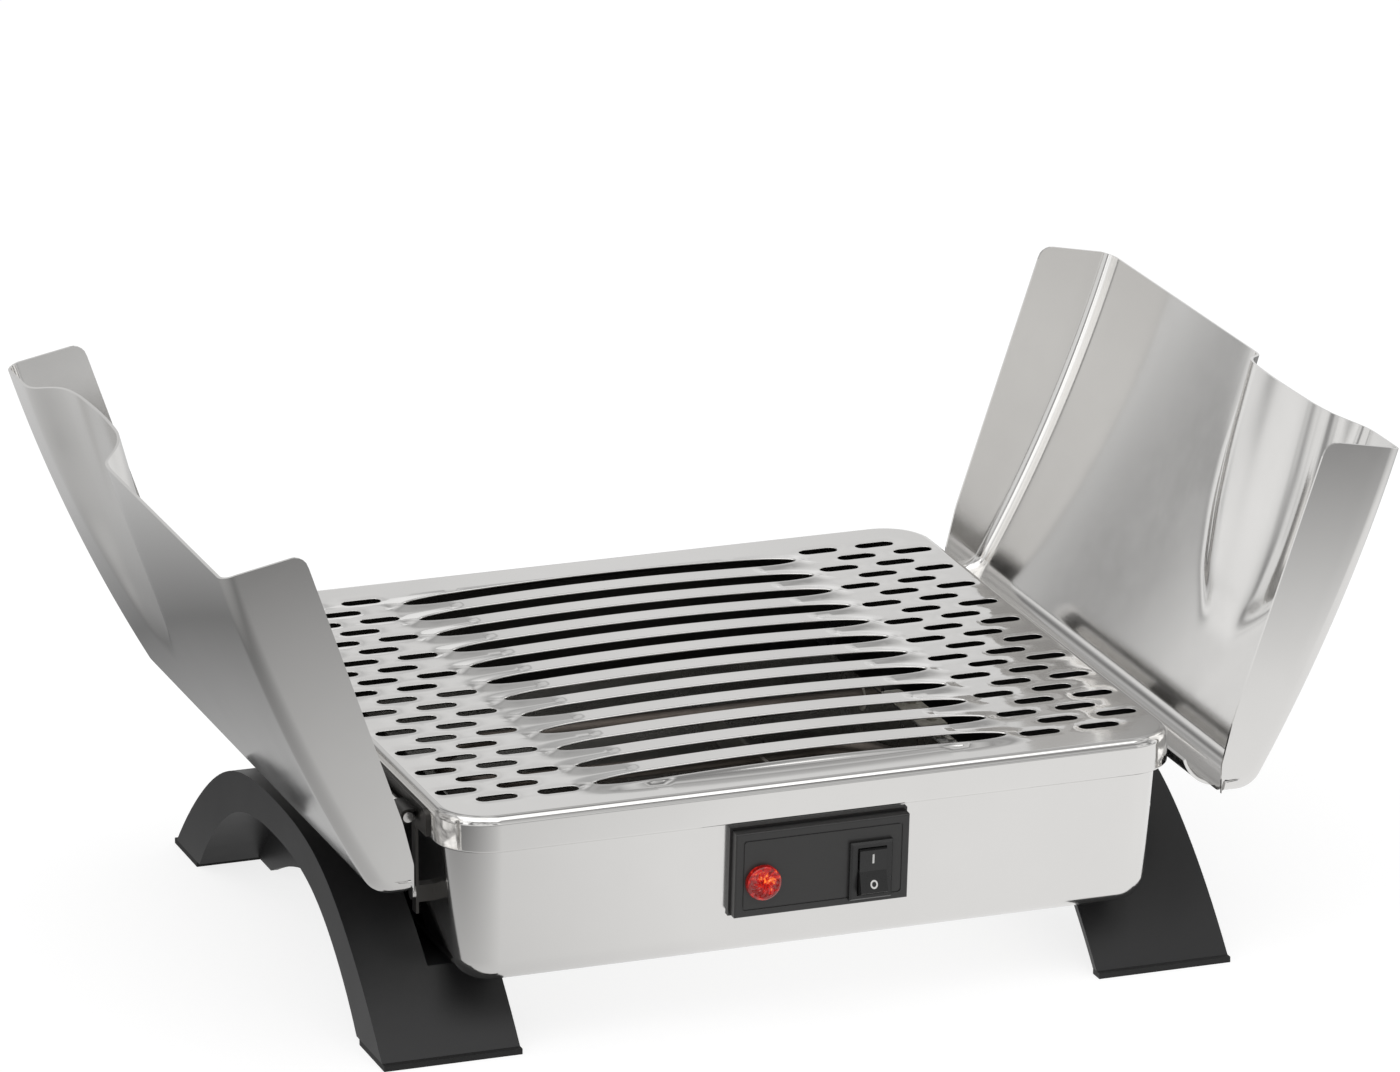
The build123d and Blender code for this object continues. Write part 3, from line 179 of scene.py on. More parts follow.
def turned_marks_group():
    """Rolled or turned steel: fine lines along one axis and a spotted gloss."""
    inputs = {"Line Scale": 60.0, "Gloss Low": 0.25, "Gloss High": 0.45}
    tree, start, end = surface_group("turned_marks", inputs, ("Roughness", "Height", "Stain"))
    place = add_node(tree, "ShaderNodeTexCoord")
    stretch = add_node(tree, "ShaderNodeMapping")
    stretch.inputs["Scale"].default_value = (1.0, 0.06, 1.0)
    lines = add_node(tree, "ShaderNodeTexNoise", Detail=6.0, Roughness=0.7)
    stain = add_node(tree, "ShaderNodeTexNoise", Scale=35.0, Detail=5.0)
    join(tree, place, "Object", stretch, "Vector")
    join(tree, stretch, "Vector", lines, "Vector")
    join(tree, place, "Object", stain, "Vector")
    join(tree, start, "Line Scale", lines, "Scale")
    gloss_range(tree, start, end, stain)
    join(tree, lines, "Fac", end, "Height")
    join(tree, stain, "Fac", end, "Stain")
    return tree


turned_marks = turned_marks_group()


def plain_metal(name, colour, other, low, high, relief, lines=900.0):
    """Metal with fine lines, from one tone to another."""
    material, tree, shader, bump = new_material(name)
    shader.inputs["Metallic"].default_value = 1.0
    marks = place_group(tree, turned_marks, Line_Scale=lines, Gloss_Low=low, Gloss_High=high)
    bump.inputs["Strength"].default_value = relief
    bump.inputs["Distance"].default_value = 0.00004
    two_tones(tree, marks.outputs["Stain"], colour, other, shader)
    join(tree, marks, "Roughness", shader, "Roughness")
    join(tree, marks, "Height", bump, "Height")
    return material


plated_steel = plain_metal("plated_steel", PLATED_COLOUR, (0.62, 0.61, 0.585), 0.22, 0.38, 0.25)
hinge_steel = plain_metal("hinge_steel", (0.56, 0.55, 0.54), (0.68, 0.67, 0.65), 0.10, 0.2, 0.12)
bracket_steel = plain_metal("bracket_steel", (0.055, 0.053, 0.05), (0.085, 0.082, 0.078),
                            0.32, 0.45, 0.12)
for name in ("foot_screws", "foot_nuts", "tray_standoffs", "earth_stud"):
    dress(name, plated_steel, 0.00015)
for name in ("left_hinge_bracket", "right_hinge_bracket"):
    dress(name, bracket_steel, 0.00025)
for name in ("left_hinge_pin", "right_hinge_pin", "bracket_rivets"):
    dress(name, hinge_steel, 0.00025)

# Tub. One deep-drawn stainless sheet with slightly leaning walls and a round bottom edge. It
# was polished after drawing, which leaves a faint haze and long shallow waves.

STEEL_COLOUR = (0.80, 0.79, 0.775)
SHEET = 1.0
TUB_HALF = (123.597, 118.097)      # half width and depth at the underside
TUB_UNDERSIDE = 25.0
TUB_TOP = 85.8
TUB_CORNER = 12.0
TUB_BOTTOM_RADIUS = 9.0
WALL_DRAFT = math.radians(4.1)
CORNER_STEPS = 12


def polish_group():
    """Polished sheet: a hazy gloss, fine polishing lines and long shallow waves."""
    inputs = {"Gloss Low": 0.05, "Gloss High": 0.12, "Line Strength": 0.1, "Wave Scale": 14.0}
    tree, start, end = surface_group("sheet_polish", inputs, ("Roughness", "Height", "Haze"))
    place = add_node(tree, "ShaderNodeTexCoord")
    stretch = add_node(tree, "ShaderNodeMapping")
    stretch.inputs["Scale"].default_value = (0.04, 0.04, 1.0)
    haze = add_node(tree, "ShaderNodeTexNoise", Scale=22.0, Detail=5.0, Roughness=0.65)
    wave = add_node(tree, "ShaderNodeTexNoise", Detail=1.0)
    lines = add_node(tree, "ShaderNodeTexNoise", Scale=1500.0, Detail=2.0)
    relief = add_node(tree, "ShaderNodeMath", operation="MULTIPLY_ADD")
    for noise in (haze, wave):
        join(tree, place, "Object", noise, "Vector")
    join(tree, place, "Object", stretch, "Vector")
    join(tree, stretch, "Vector", lines, "Vector")
    join(tree, start, "Wave Scale", wave, "Scale")
    gloss_range(tree, start, end, haze, 0.3, 0.7)
    join(tree, lines, "Fac", relief, 0)
    join(tree, start, "Line Strength", relief, 1)
    join(tree, wave, "Fac", relief, 2)
    join(tree, relief, "Value", end, "Height")
    join(tree, haze, "Fac", end, "Haze")
    return tree


sheet_polish = polish_group()


def polished_sheet(name, colour, low, high, waves, lines=0.004):
    """Polished stainless sheet."""
    material, tree, shader, bump = new_material(name)
    shader.inputs["Metallic"].default_value = 1.0
    polish = place_group(tree, sheet_polish, Gloss_Low=low, Gloss_High=high, Line_Strength=lines)
    bump.inputs["Strength"].default_value = waves
    bump.inputs["Distance"].default_value = 0.001
    duller = tuple(channel * 0.96 for channel in colour)
    two_tones(tree, polish.outputs["Haze"], colour, duller, shader)
    join(tree, polish, "Roughness", shader, "Roughness")
    join(tree, polish, "Height", bump, "Height")
    return material


def round_ring(half_x, half_y, radius, sides=(9, 9)):
    """Points and outward directions round a rectangle with round corners."""
    ring = []
    for turn, (sx, sy) in enumerate(((1, 1), (-1, 1), (-1, -1), (1, -1))):
        for step in range(CORNER_STEPS + 1):
            angle = math.radians(90 * (turn + step / CORNER_STEPS))
            out = (math.cos(angle), math.sin(angle))
            ring.append((sx * (half_x - radius) + radius * out[0],
                         sy * (half_y - radius) + radius * out[1], out))
        if turn % 2 == 0:
            span, count = 2 * (half_x - radius), sides[0]
        else:
            span, count = 2 * (half_y - radius), sides[1]
        x, y, out = ring[-1]
        along = (-out[1], out[0])
        for step in range(1, count):
            move = span * step / count
            ring.append((x + along[0] * move, y + along[1] * move, out))
    return ring


def loop_faces(first, second, count, closed=True):
    """Quads between two rings of vertices that start at first and second."""
    steps = count if closed else count - 1
    return [(first + k, first + (k + 1) % count, second + (k + 1) % count, second + k)
            for k in range(steps)]


def corner_normals(points, faces):
    """Vertex normals of a surface, weighted by area."""
    total = np.zeros((len(points), 3))
    place = np.array([tuple(p) for p in points])
    for face in faces:
        a, b, c = place[face[0]], place[face[1]], place[face[2]]
        normal = np.cross(b - a, c - a)
        if len(face) > 3:
            d = place[face[3]]
            normal = np.cross(c - a, d - b)
        for corner in face:
            total[corner] += normal
    length = np.linalg.norm(total, axis=1)
    length[length == 0] = 1
    return total / length[:, None]


def shown(name, mesh, material, body, replaced=()):
    """Put a finished mesh in the scene as a piece."""
    if mesh.materials:
        mesh.materials[0] = material
    else:
        mesh.materials.append(material)
    piece = bpy.data.objects.new(name, mesh)
    bpy.context.scene.collection.objects.link(piece)
    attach(piece, body)
    if replaced:
        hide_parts(*replaced)
    return piece


def sheet_mesh(name, points, normals, faces, thickness=SHEET, inside=None):
    """Sheet behind a surface (millimetres), with its edges closed and its own normals."""
    outer = np.array([tuple(p) for p in points])
    normals = np.array([tuple(n) for n in normals])
    count = len(outer)
    inner = outer - normals * np.broadcast_to(thickness, count)[:, None]
    edges = {(face[k - 1], face[k]) for face in faces for k in range(len(face))}
    rim = [(b, a, a + count, b + count) for a, b in edges if (b, a) not in edges]
    rim.sort()
    behind = [tuple(corner + count for corner in reversed(face)) for face in faces]
    mesh = bpy.data.meshes.new(name)
    mesh.from_pydata(np.concatenate((outer, inner)) * MM, [], list(faces) + behind + rim)
    mesh.polygons.foreach_set("use_smooth", [True] * len(mesh.polygons))
    both = np.concatenate((normals, -normals))
    rim_start = 2 * len(faces)
    loops = []
    for polygon in mesh.polygons:
        flat = polygon.normal
        for corner in polygon.vertices:
            loops.append(tuple(both[corner]) if polygon.index < rim_start else tuple(flat))
    mesh.normals_split_custom_set(loops)
    # The faces behind get the inside material, which paints shade on them.
    if inside:
        painted_shade_faces = [0] * len(faces) + [1] * len(faces) + [0] * len(rim)
        mesh.materials.append(None)
        mesh.materials.append(inside)
        mesh.polygons.foreach_set("material_index", painted_shade_faces)
    return mesh


def tub_surface():
    """The tub's outside: its floor, bottom rounding and walls."""
    slope = math.tan(WALL_DRAFT)
    levels = []
    for step in range(8):
        angle = (math.pi / 2 - WALL_DRAFT) * step / 7
        out = TUB_BOTTOM_RADIUS * (slope - 1 / math.cos(WALL_DRAFT) + math.sin(angle))
        height = TUB_UNDERSIDE + TUB_BOTTOM_RADIUS * (1 - math.cos(angle))
        levels.append((out, height, angle))
    wall_angle = levels[-1][2]
    for height in (45.0, 60.0, 75.0, TUB_TOP):
        levels.append((slope * (height - TUB_UNDERSIDE), height, wall_angle))
    points, normals = [], []
    for out, height, angle in levels:
        for x, y, side in round_ring(TUB_HALF[0] + out, TUB_HALF[1] + out, TUB_CORNER + out):
            points.append((x, y, height))
            normals.append((side[0] * math.sin(angle), side[1] * math.sin(angle), -math.cos(angle)))
    count = len(points) // len(levels)
    faces = [tuple(reversed(range(count)))]
    for level in range(len(levels) - 1):
        faces += loop_faces(level * count, (level + 1) * count, count)
    return points, normals, faces


tub_steel = polished_sheet("tub_steel", STEEL_COLOUR, 0.10, 0.17, 0.03, 0.02)
# Painted shade: the sheets' inside faces are coloured near black for the shade inside the tub and under
# the cover.
painted_shade_inside = plain_metal("painted_shade_inside", (0.05, 0.049, 0.047), (0.08, 0.077, 0.072), 0.45, 0.6, 0.3)
tub_mesh = sheet_mesh("tub", *tub_surface(), inside=painted_shade_inside)
shown("tub", tub_mesh, tub_steel, "base", ["housing_tub"])

# Heater. A bent tubular element lies in notched strips on a folded tray. Its ends leave through
# ceramic bushes; a disc thermostat and a capsule cut-out sit on the tray's side.

# Painted shade: the reflector tray's steel is darkened to mid grey for the shade under the cover.
shaded_tray_steel = polished_sheet("shaded_tray_steel", (0.42, 0.415, 0.40), 0.2, 0.32, 0.05, 0.05)
support_steel = plain_metal("support_steel", (0.50, 0.49, 0.47), (0.60, 0.585, 0.55), 0.25, 0.4, 0.3)
sheath = plain_metal("sheath", (0.15, 0.14, 0.13), (0.24, 0.20, 0.17), 0.38, 0.55, 0.5, 700.0)
thermostat_cap = plain_metal("thermostat_cap", (0.60, 0.59, 0.57), (0.70, 0.69, 0.66), 0.2, 0.32, 0.2)
ceramic = moulded_plastic("ceramic", (0.62, 0.59, 0.53), 0.45, 0.62, 0.6, 500.0)
dress("reflector_tray", shaded_tray_steel, 0.0002)
dress("element_supports", support_steel, 0.0002)
dress("heating_element", sheath)
dress("thermostat", thermostat_cap, 0.0002)
dress("thermal_fuse", thermostat_cap, 0.0002)
dress("element_bushes", ceramic, 0.0002)

# Wiring. A moulded block with three screw ways, silicone-sleeved leads laid in lanes beside the
# tray, and the cord's gland with its nut in the back wall.

block_plastic = moulded_plastic("block_plastic", (0.60, 0.57, 0.50), 0.35, 0.5, 0.4, 600.0)
sleeve_grey = moulded_plastic("sleeve_grey", (0.42, 0.41, 0.38), 0.45, 0.6, 0.5, 1200.0)
sleeve_white = moulded_plastic("sleeve_white", (0.58, 0.56, 0.51), 0.45, 0.6, 0.5, 1200.0)
gland_plastic = moulded_plastic("gland_plastic", (0.016, 0.016, 0.017), 0.35, 0.5, 0.4)
brass = plain_metal("brass", (0.60, 0.42, 0.16), (0.50, 0.34, 0.14), 0.25, 0.4, 0.2)
dress("terminal_block", block_plastic, 0.0003)
dress("switch_leads", sleeve_grey)
dress("lamp_leads", sleeve_white)
dress("element_leads", sleeve_white)
dress("cord_gland", gland_plastic, 0.0004)
dress("gland_nut", gland_plastic, 0.0003)
dress("switch_terminals", brass)

# Front panel. A moulded black plate with an engraved line, on a thin backing plate. It carries
# the snap-in rocker switch and the round lamp, whose red lens glows when the warmer is on.

PANEL_Z = 56.5
PANEL_FACE = 5.8                   # in front of the tub's wall
CONTROL_DROP = 2.8
SWITCH_X = 17.05
LAMP_X = -21.3
LENS_RADIUS = 6.15
LENS_HEIGHT = 2.6
GLOW_RISE = 1.2                    # the lamp's glow sits above the lens's middle
PIVOT_DEPTH = 6.3
ROCKER_CREST = 8.9
ROCKER_TILT = math.radians(9.0)
MARK_LIFT = 0.05
PANEL_Y = -(TUB_HALF[1] + (PANEL_Z - TUB_UNDERSIDE) * math.tan(WALL_DRAFT))
PANEL_UP = Vector((0, -math.sin(WALL_DRAFT), math.cos(WALL_DRAFT)))
PANEL_OUT = Vector((0, -math.cos(WALL_DRAFT), -math.sin(WALL_DRAFT)))


def on_panel(x, y, z):
    """A point from the panel's own x, y and its distance from the tub's wall, in millimetres."""
    return Vector((0, PANEL_Y, PANEL_Z)) + Vector((x, 0, 0)) + PANEL_UP * y + PANEL_OUT * z


def plain_mesh(name, points, faces, smooth=False):
    """A mesh from points in millimetres."""
    mesh = bpy.data.meshes.new(name)
    mesh.from_pydata([Vector(point) * MM for point in points], [], faces)
    mesh.polygons.foreach_set("use_smooth", [smooth] * len(mesh.polygons))
    return mesh


def lens_surface():
    """Faceted red lens: rings of small prisms inside a smooth rounded rim."""
    sides = 30
    rings = [(LENS_RADIUS, PANEL_FACE, 0)]
    for step in range(5):
        angle = math.radians(22.5 * step)
        rings.append((LENS_RADIUS - 1.1 + 1.1 * math.cos(angle),
                      PANEL_FACE + LENS_HEIGHT - 1.1 + 1.1 * math.sin(angle), 0))
    for radius in (4.7, 3.6, 2.5, 1.4):
        rings.append((radius, PANEL_FACE + LENS_HEIGHT - 0.12, 0.42))
    points = []
    for index, (radius, height, relief) in enumerate(rings):
        for side in range(sides):
            angle = math.radians(360 * side / sides)
            sunk = relief if (side + index) % 2 else 0.0
            points.append(on_panel(LAMP_X + radius * math.cos(angle),
                                   radius * math.sin(angle) - CONTROL_DROP, height - sunk))
    faces = []
    for index in range(len(rings) - 1):
        for a, b, c, d in loop_faces(index * sides, (index + 1) * sides, sides):
            if index < 5:
                faces.append((a, b, c, d))
            else:
                faces += [(a, b, c), (a, c, d)]
    last = (len(rings) - 1) * sides
    points.append(on_panel(LAMP_X, -CONTROL_DROP, PANEL_FACE + LENS_HEIGHT - 0.1))
    faces += [(last + k, last + (k + 1) % sides, len(points) - 1) for k in range(sides)]
    faces.append(tuple(reversed(range(sides))))
    return points, faces


def rocker_point(x, along, lift=MARK_LIFT):
    """A point on the rocker's two faces: along is its distance from the middle, up the wall."""
    height = ROCKER_CREST + abs(along) * math.tan(ROCKER_TILT) + lift - PIVOT_DEPTH
    up = along * math.cos(ROCKER_TILT) + height * math.sin(ROCKER_TILT)
    out = height * math.cos(ROCKER_TILT) - along * math.sin(ROCKER_TILT)
    return on_panel(SWITCH_X + x, up - CONTROL_DROP, out + PIVOT_DEPTH)


def bar_mark():
    """The upright stroke that marks on."""
    outline = [(-0.33, 2.7), (0.33, 2.7), (0.33, 5.9), (-0.33, 5.9)]
    low = [rocker_point(x, along, 0.0) for x, along in outline]
    high = [rocker_point(x, along) for x, along in outline]
    faces = [(4, 5, 6, 7), (3, 2, 1, 0)] + [(k, (k + 1) % 4, (k + 1) % 4 + 4, k + 4) for k in range(4)]
    return low + high, faces


def ring_mark():
    """The ring that marks off."""
    sides = 32
    points = []
    for radius, lift in ((1.32, 0.0), (1.32, MARK_LIFT), (0.78, MARK_LIFT), (0.78, 0.0)):
        for side in range(sides):
            angle = math.radians(360 * side / sides)
            points.append(rocker_point(radius * math.cos(angle), 1.15 * radius * math.sin(angle) - 4.6,
                                       lift))
    faces = []
    for ring in range(4):
        faces += loop_faces(ring * sides, (ring + 1) % 4 * sides, sides)
    return points, faces


panel_plastic = moulded_plastic("panel_plastic", (0.026, 0.0255, 0.025), 0.28, 0.40, 0.28, 1100.0)
switch_plastic = moulded_plastic("switch_plastic", (0.012, 0.012, 0.012), 0.22, 0.32, 0.2, 1300.0)
mark_paint = moulded_plastic("mark_paint", (0.66, 0.655, 0.64), 0.4, 0.5, 0.2, 1300.0)
lens_red, lens_tree, lens_shader, lens_bump = new_material("lens_red")
lens_shader.inputs["Roughness"].default_value = 0.12
lens_shader.inputs["Coat Weight"].default_value = 0.6
lens_shader.inputs["Emission Strength"].default_value = 0.42
lens_bump.inputs["Strength"].default_value = 0.25
lens_bump.inputs["Distance"].default_value = 0.0002
lens_place = add_node(lens_tree, "ShaderNodeTexCoord")
lens_cells = add_node(lens_tree, "ShaderNodeTexVoronoi", Scale=620.0)
lens_specks = add_node(lens_tree, "ShaderNodeTexNoise", Scale=620.0, Detail=2.0)
lens_ramp = lens_tree.nodes.new("ShaderNodeValToRGB")
lens_ramp.color_ramp.elements[0].position = 0.35
lens_ramp.color_ramp.elements[0].color = (0.20, 0.002, 0.001, 1)
lens_ramp.color_ramp.elements[1].position = 0.70
lens_ramp.color_ramp.elements[1].color = (1.0, 0.30, 0.06, 1)
lens_middle = lens_ramp.color_ramp.elements.new(0.55)
lens_middle.color = (0.55, 0.006, 0.004, 1)
lens_reach = add_node(lens_tree, "ShaderNodeVectorMath", operation="DISTANCE")
lens_reach.inputs[1].default_value = on_panel(LAMP_X, GLOW_RISE - CONTROL_DROP,
                                              PANEL_FACE + LENS_HEIGHT) * MM
lens_fade = lens_tree.nodes.new("ShaderNodeMapRange")
lens_fade.inputs["From Max"].default_value = LENS_RADIUS * MM
lens_fade.inputs["To Min"].default_value = 0.13
lens_fade.inputs["To Max"].default_value = -0.17
lens_glow = add_node(lens_tree, "ShaderNodeMath", operation="ADD")
for lens_texture in (lens_cells, lens_specks, lens_reach):
    join(lens_tree, lens_place, "Object", lens_texture, 0)
join(lens_tree, lens_reach, "Value", lens_fade, "Value")
join(lens_tree, lens_fade, "Result", lens_glow, 0)
join(lens_tree, lens_specks, "Fac", lens_glow, 1)
join(lens_tree, lens_glow, "Value", lens_ramp, "Fac")
join(lens_tree, lens_ramp, "Color", lens_shader, "Base Color")
join(lens_tree, lens_ramp, "Color", lens_shader, "Emission Color")
join(lens_tree, lens_cells, "Distance", lens_bump, "Height")

dress("panel_backing", panel_plastic, 0.0003)
dress("control_panel", panel_plastic)
dress("lamp_body", switch_plastic)
dress("switch_body", switch_plastic, 0.0003)
dress("switch_rocker", switch_plastic, 0.0004)
shown("lamp_lens_facets", plain_mesh("lamp_lens_facets", *lens_surface()), lens_red, "base",
      ["lamp_lens"])
shown("on_mark", plain_mesh("on_mark", *bar_mark()), mark_paint, "rocker_body")
shown("off_mark", plain_mesh("off_mark", *ring_mark()), mark_paint, "rocker_body")

# Cover. One stamped and polished stainless sheet: a skirt with a hemmed edge, twelve long slots
# in a raised, arched field and staggered vents on both sides. Every hole's rim is rolled down.

COVER_HALF = (131.0, 125.5)
COVER_TOP = 87.0
SKIRT_BOTTOM = 74.5
COVER_CORNER = 18.0
COVER_EDGE = 3.0
HEM = 0.9
COVER_SHEET = 0.7
RIM_SHEET = 0.25                   # the sheet thins where the rims are rolled
SLOT_COUNT = 12
SLOT_PITCH = 18.36
SLOT_FIRST = -105.9
SLOT_STRAIGHT = 55.0               # half of the straight sides
SLOT_TIP = 19.0
SLOT_HALF_WIDTH = 4.6
FIELD_HALF = 79.0
FIELD_RISE = 2.0                   # arch of the field at the middle
COLLAR_RISE = 0.8                  # of the rim round each slot
COLLAR_WIDTH = 4.8
VENT_STRAIGHT = 4.5
VENT_RADIUS = 2.7
VENT_PITCH = (21.6, 10.57)
VENT_ROWS = 21
VENT_OUTER = (118.8, 105.7)
VENT_SINK = 0.10                   # the punch draws the sheet down round a vent
SLOT_ROLL = 0.5
VENT_ROLL = 0.22
GRID_STEP = 4.5
FINE_STEP = 1.7                    # round the slots' tips
SLOT_GAP, TIP_GAP, VENT_GAP = 2.7, 2.2, 2.3    # from a rim to the nearest grid points
RIM_SIDES = (40, 38)               # steps along the cover's straight edges
SKIRT_MIDDLE = 80.0
VENTS = [(side * (VENT_OUTER[0] - step * VENT_PITCH[0] / 2), row * VENT_PITCH[1] - VENT_OUTER[1])
         for row in range(VENT_ROWS) for step in (1 - row % 2, 3 - row % 2) for side in (-1, 1)]
SLOTS = [SLOT_FIRST + k * SLOT_PITCH for k in range(SLOT_COUNT)]


def ease(value):
    """Smooth step from 0 to 1."""
    value = np.clip(value, 0, 1)
    return value * value * (3 - 2 * value)


def slot_distance(x, y):
    """Distance from the nearest slot's edge, negative inside it."""
    u = np.maximum(np.abs(x) - SLOT_STRAIGHT, 0)
    nearest = np.full(np.shape(x), 1e6)
    for middle in SLOTS:
        v = y - middle
        value = (u / SLOT_TIP) ** 2 + (v / SLOT_HALF_WIDTH) ** 2 - 1
        slope = 2 * np.sqrt((u / SLOT_TIP ** 2) ** 2 + (v / SLOT_HALF_WIDTH ** 2) ** 2) + 1e-9
        tip = value / slope
        nearest = np.minimum(nearest, np.where(u > 0, tip, np.abs(v) - SLOT_HALF_WIDTH))
    return nearest


def vent_distance(x, y):
    """Distance from the nearest vent's edge, negative inside it."""
    nearest = np.full(np.shape(x), 1e6)
    for vent_x, vent_y in VENTS:
        u = np.maximum(np.abs(x - vent_x) - VENT_STRAIGHT, 0)
        nearest = np.minimum(nearest, np.hypot(u, y - vent_y) - VENT_RADIUS)
    return nearest


def cover_height(x, y):
    """Height of the cover's top: arched field, slot collars and the sinks round the vents."""
    across = np.clip(1 - (x / FIELD_HALF) ** 2, 0, 1) ** 1.25
    middle = (SLOTS[0] + SLOTS[-1]) / 2
    beyond = np.abs(y - middle) - (SLOTS[-1] - SLOTS[0]) / 2
    field = 1 - ease((beyond - SLOT_HALF_WIDTH) / 6.0)
    ribs = np.hypot(np.maximum(np.abs(x) - SLOT_STRAIGHT, 0), np.maximum(beyond, 0))
    collar = 1 - ease(np.minimum(np.maximum(slot_distance(x, y), 0), ribs) / COLLAR_WIDTH)
    sink = VENT_SINK * np.exp(-(np.maximum(vent_distance(x, y), 0) / 1.8) ** 2)
    return COVER_TOP + FIELD_RISE * across * field + COLLAR_RISE * collar - sink


def cover_normals(x, y):
    """Unit normals of that surface."""
    step = 0.05
    rise_x = (cover_height(x + step, y) - cover_height(x - step, y)) / (2 * step)
    rise_y = (cover_height(x, y + step) - cover_height(x, y - step)) / (2 * step)
    normals = np.stack((-rise_x, -rise_y, np.ones_like(rise_x)), axis=1)
    return normals / np.linalg.norm(normals, axis=1)[:, None]


def slot_outline():
    """Points and outward directions round one slot about its middle."""
    outline = []
    for side in (1, -1):
        for step in range(15):
            angle = math.radians(-90 + 180 * step / 14)
            normal = Vector((math.cos(angle) / SLOT_TIP, math.sin(angle) / SLOT_HALF_WIDTH)).normalized()
            outline.append((side * (SLOT_STRAIGHT + SLOT_TIP * math.cos(angle)),
                            side * SLOT_HALF_WIDTH * math.sin(angle), (side * normal.x, side * normal.y)))
        for step in range(1, 13):
            x = SLOT_STRAIGHT * (1 - 2 * step / 13)
            outline.append((side * x, side * SLOT_HALF_WIDTH, (0, side)))
    return outline


def vent_outline():
    """Points and outward directions round one vent about its middle."""
    outline = []
    for side in (1, -1):
        for step in range(8):
            angle = math.radians(-90 + 180 * step / 7)
            out = (side * math.cos(angle), side * math.sin(angle))
            outline.append((side * VENT_STRAIGHT + VENT_RADIUS * out[0], VENT_RADIUS * out[1], out))
        for step in range(1, 4):
            outline.append((side * VENT_STRAIGHT * (1 - 2 * step / 4), side * VENT_RADIUS, (0, side)))
    return outline


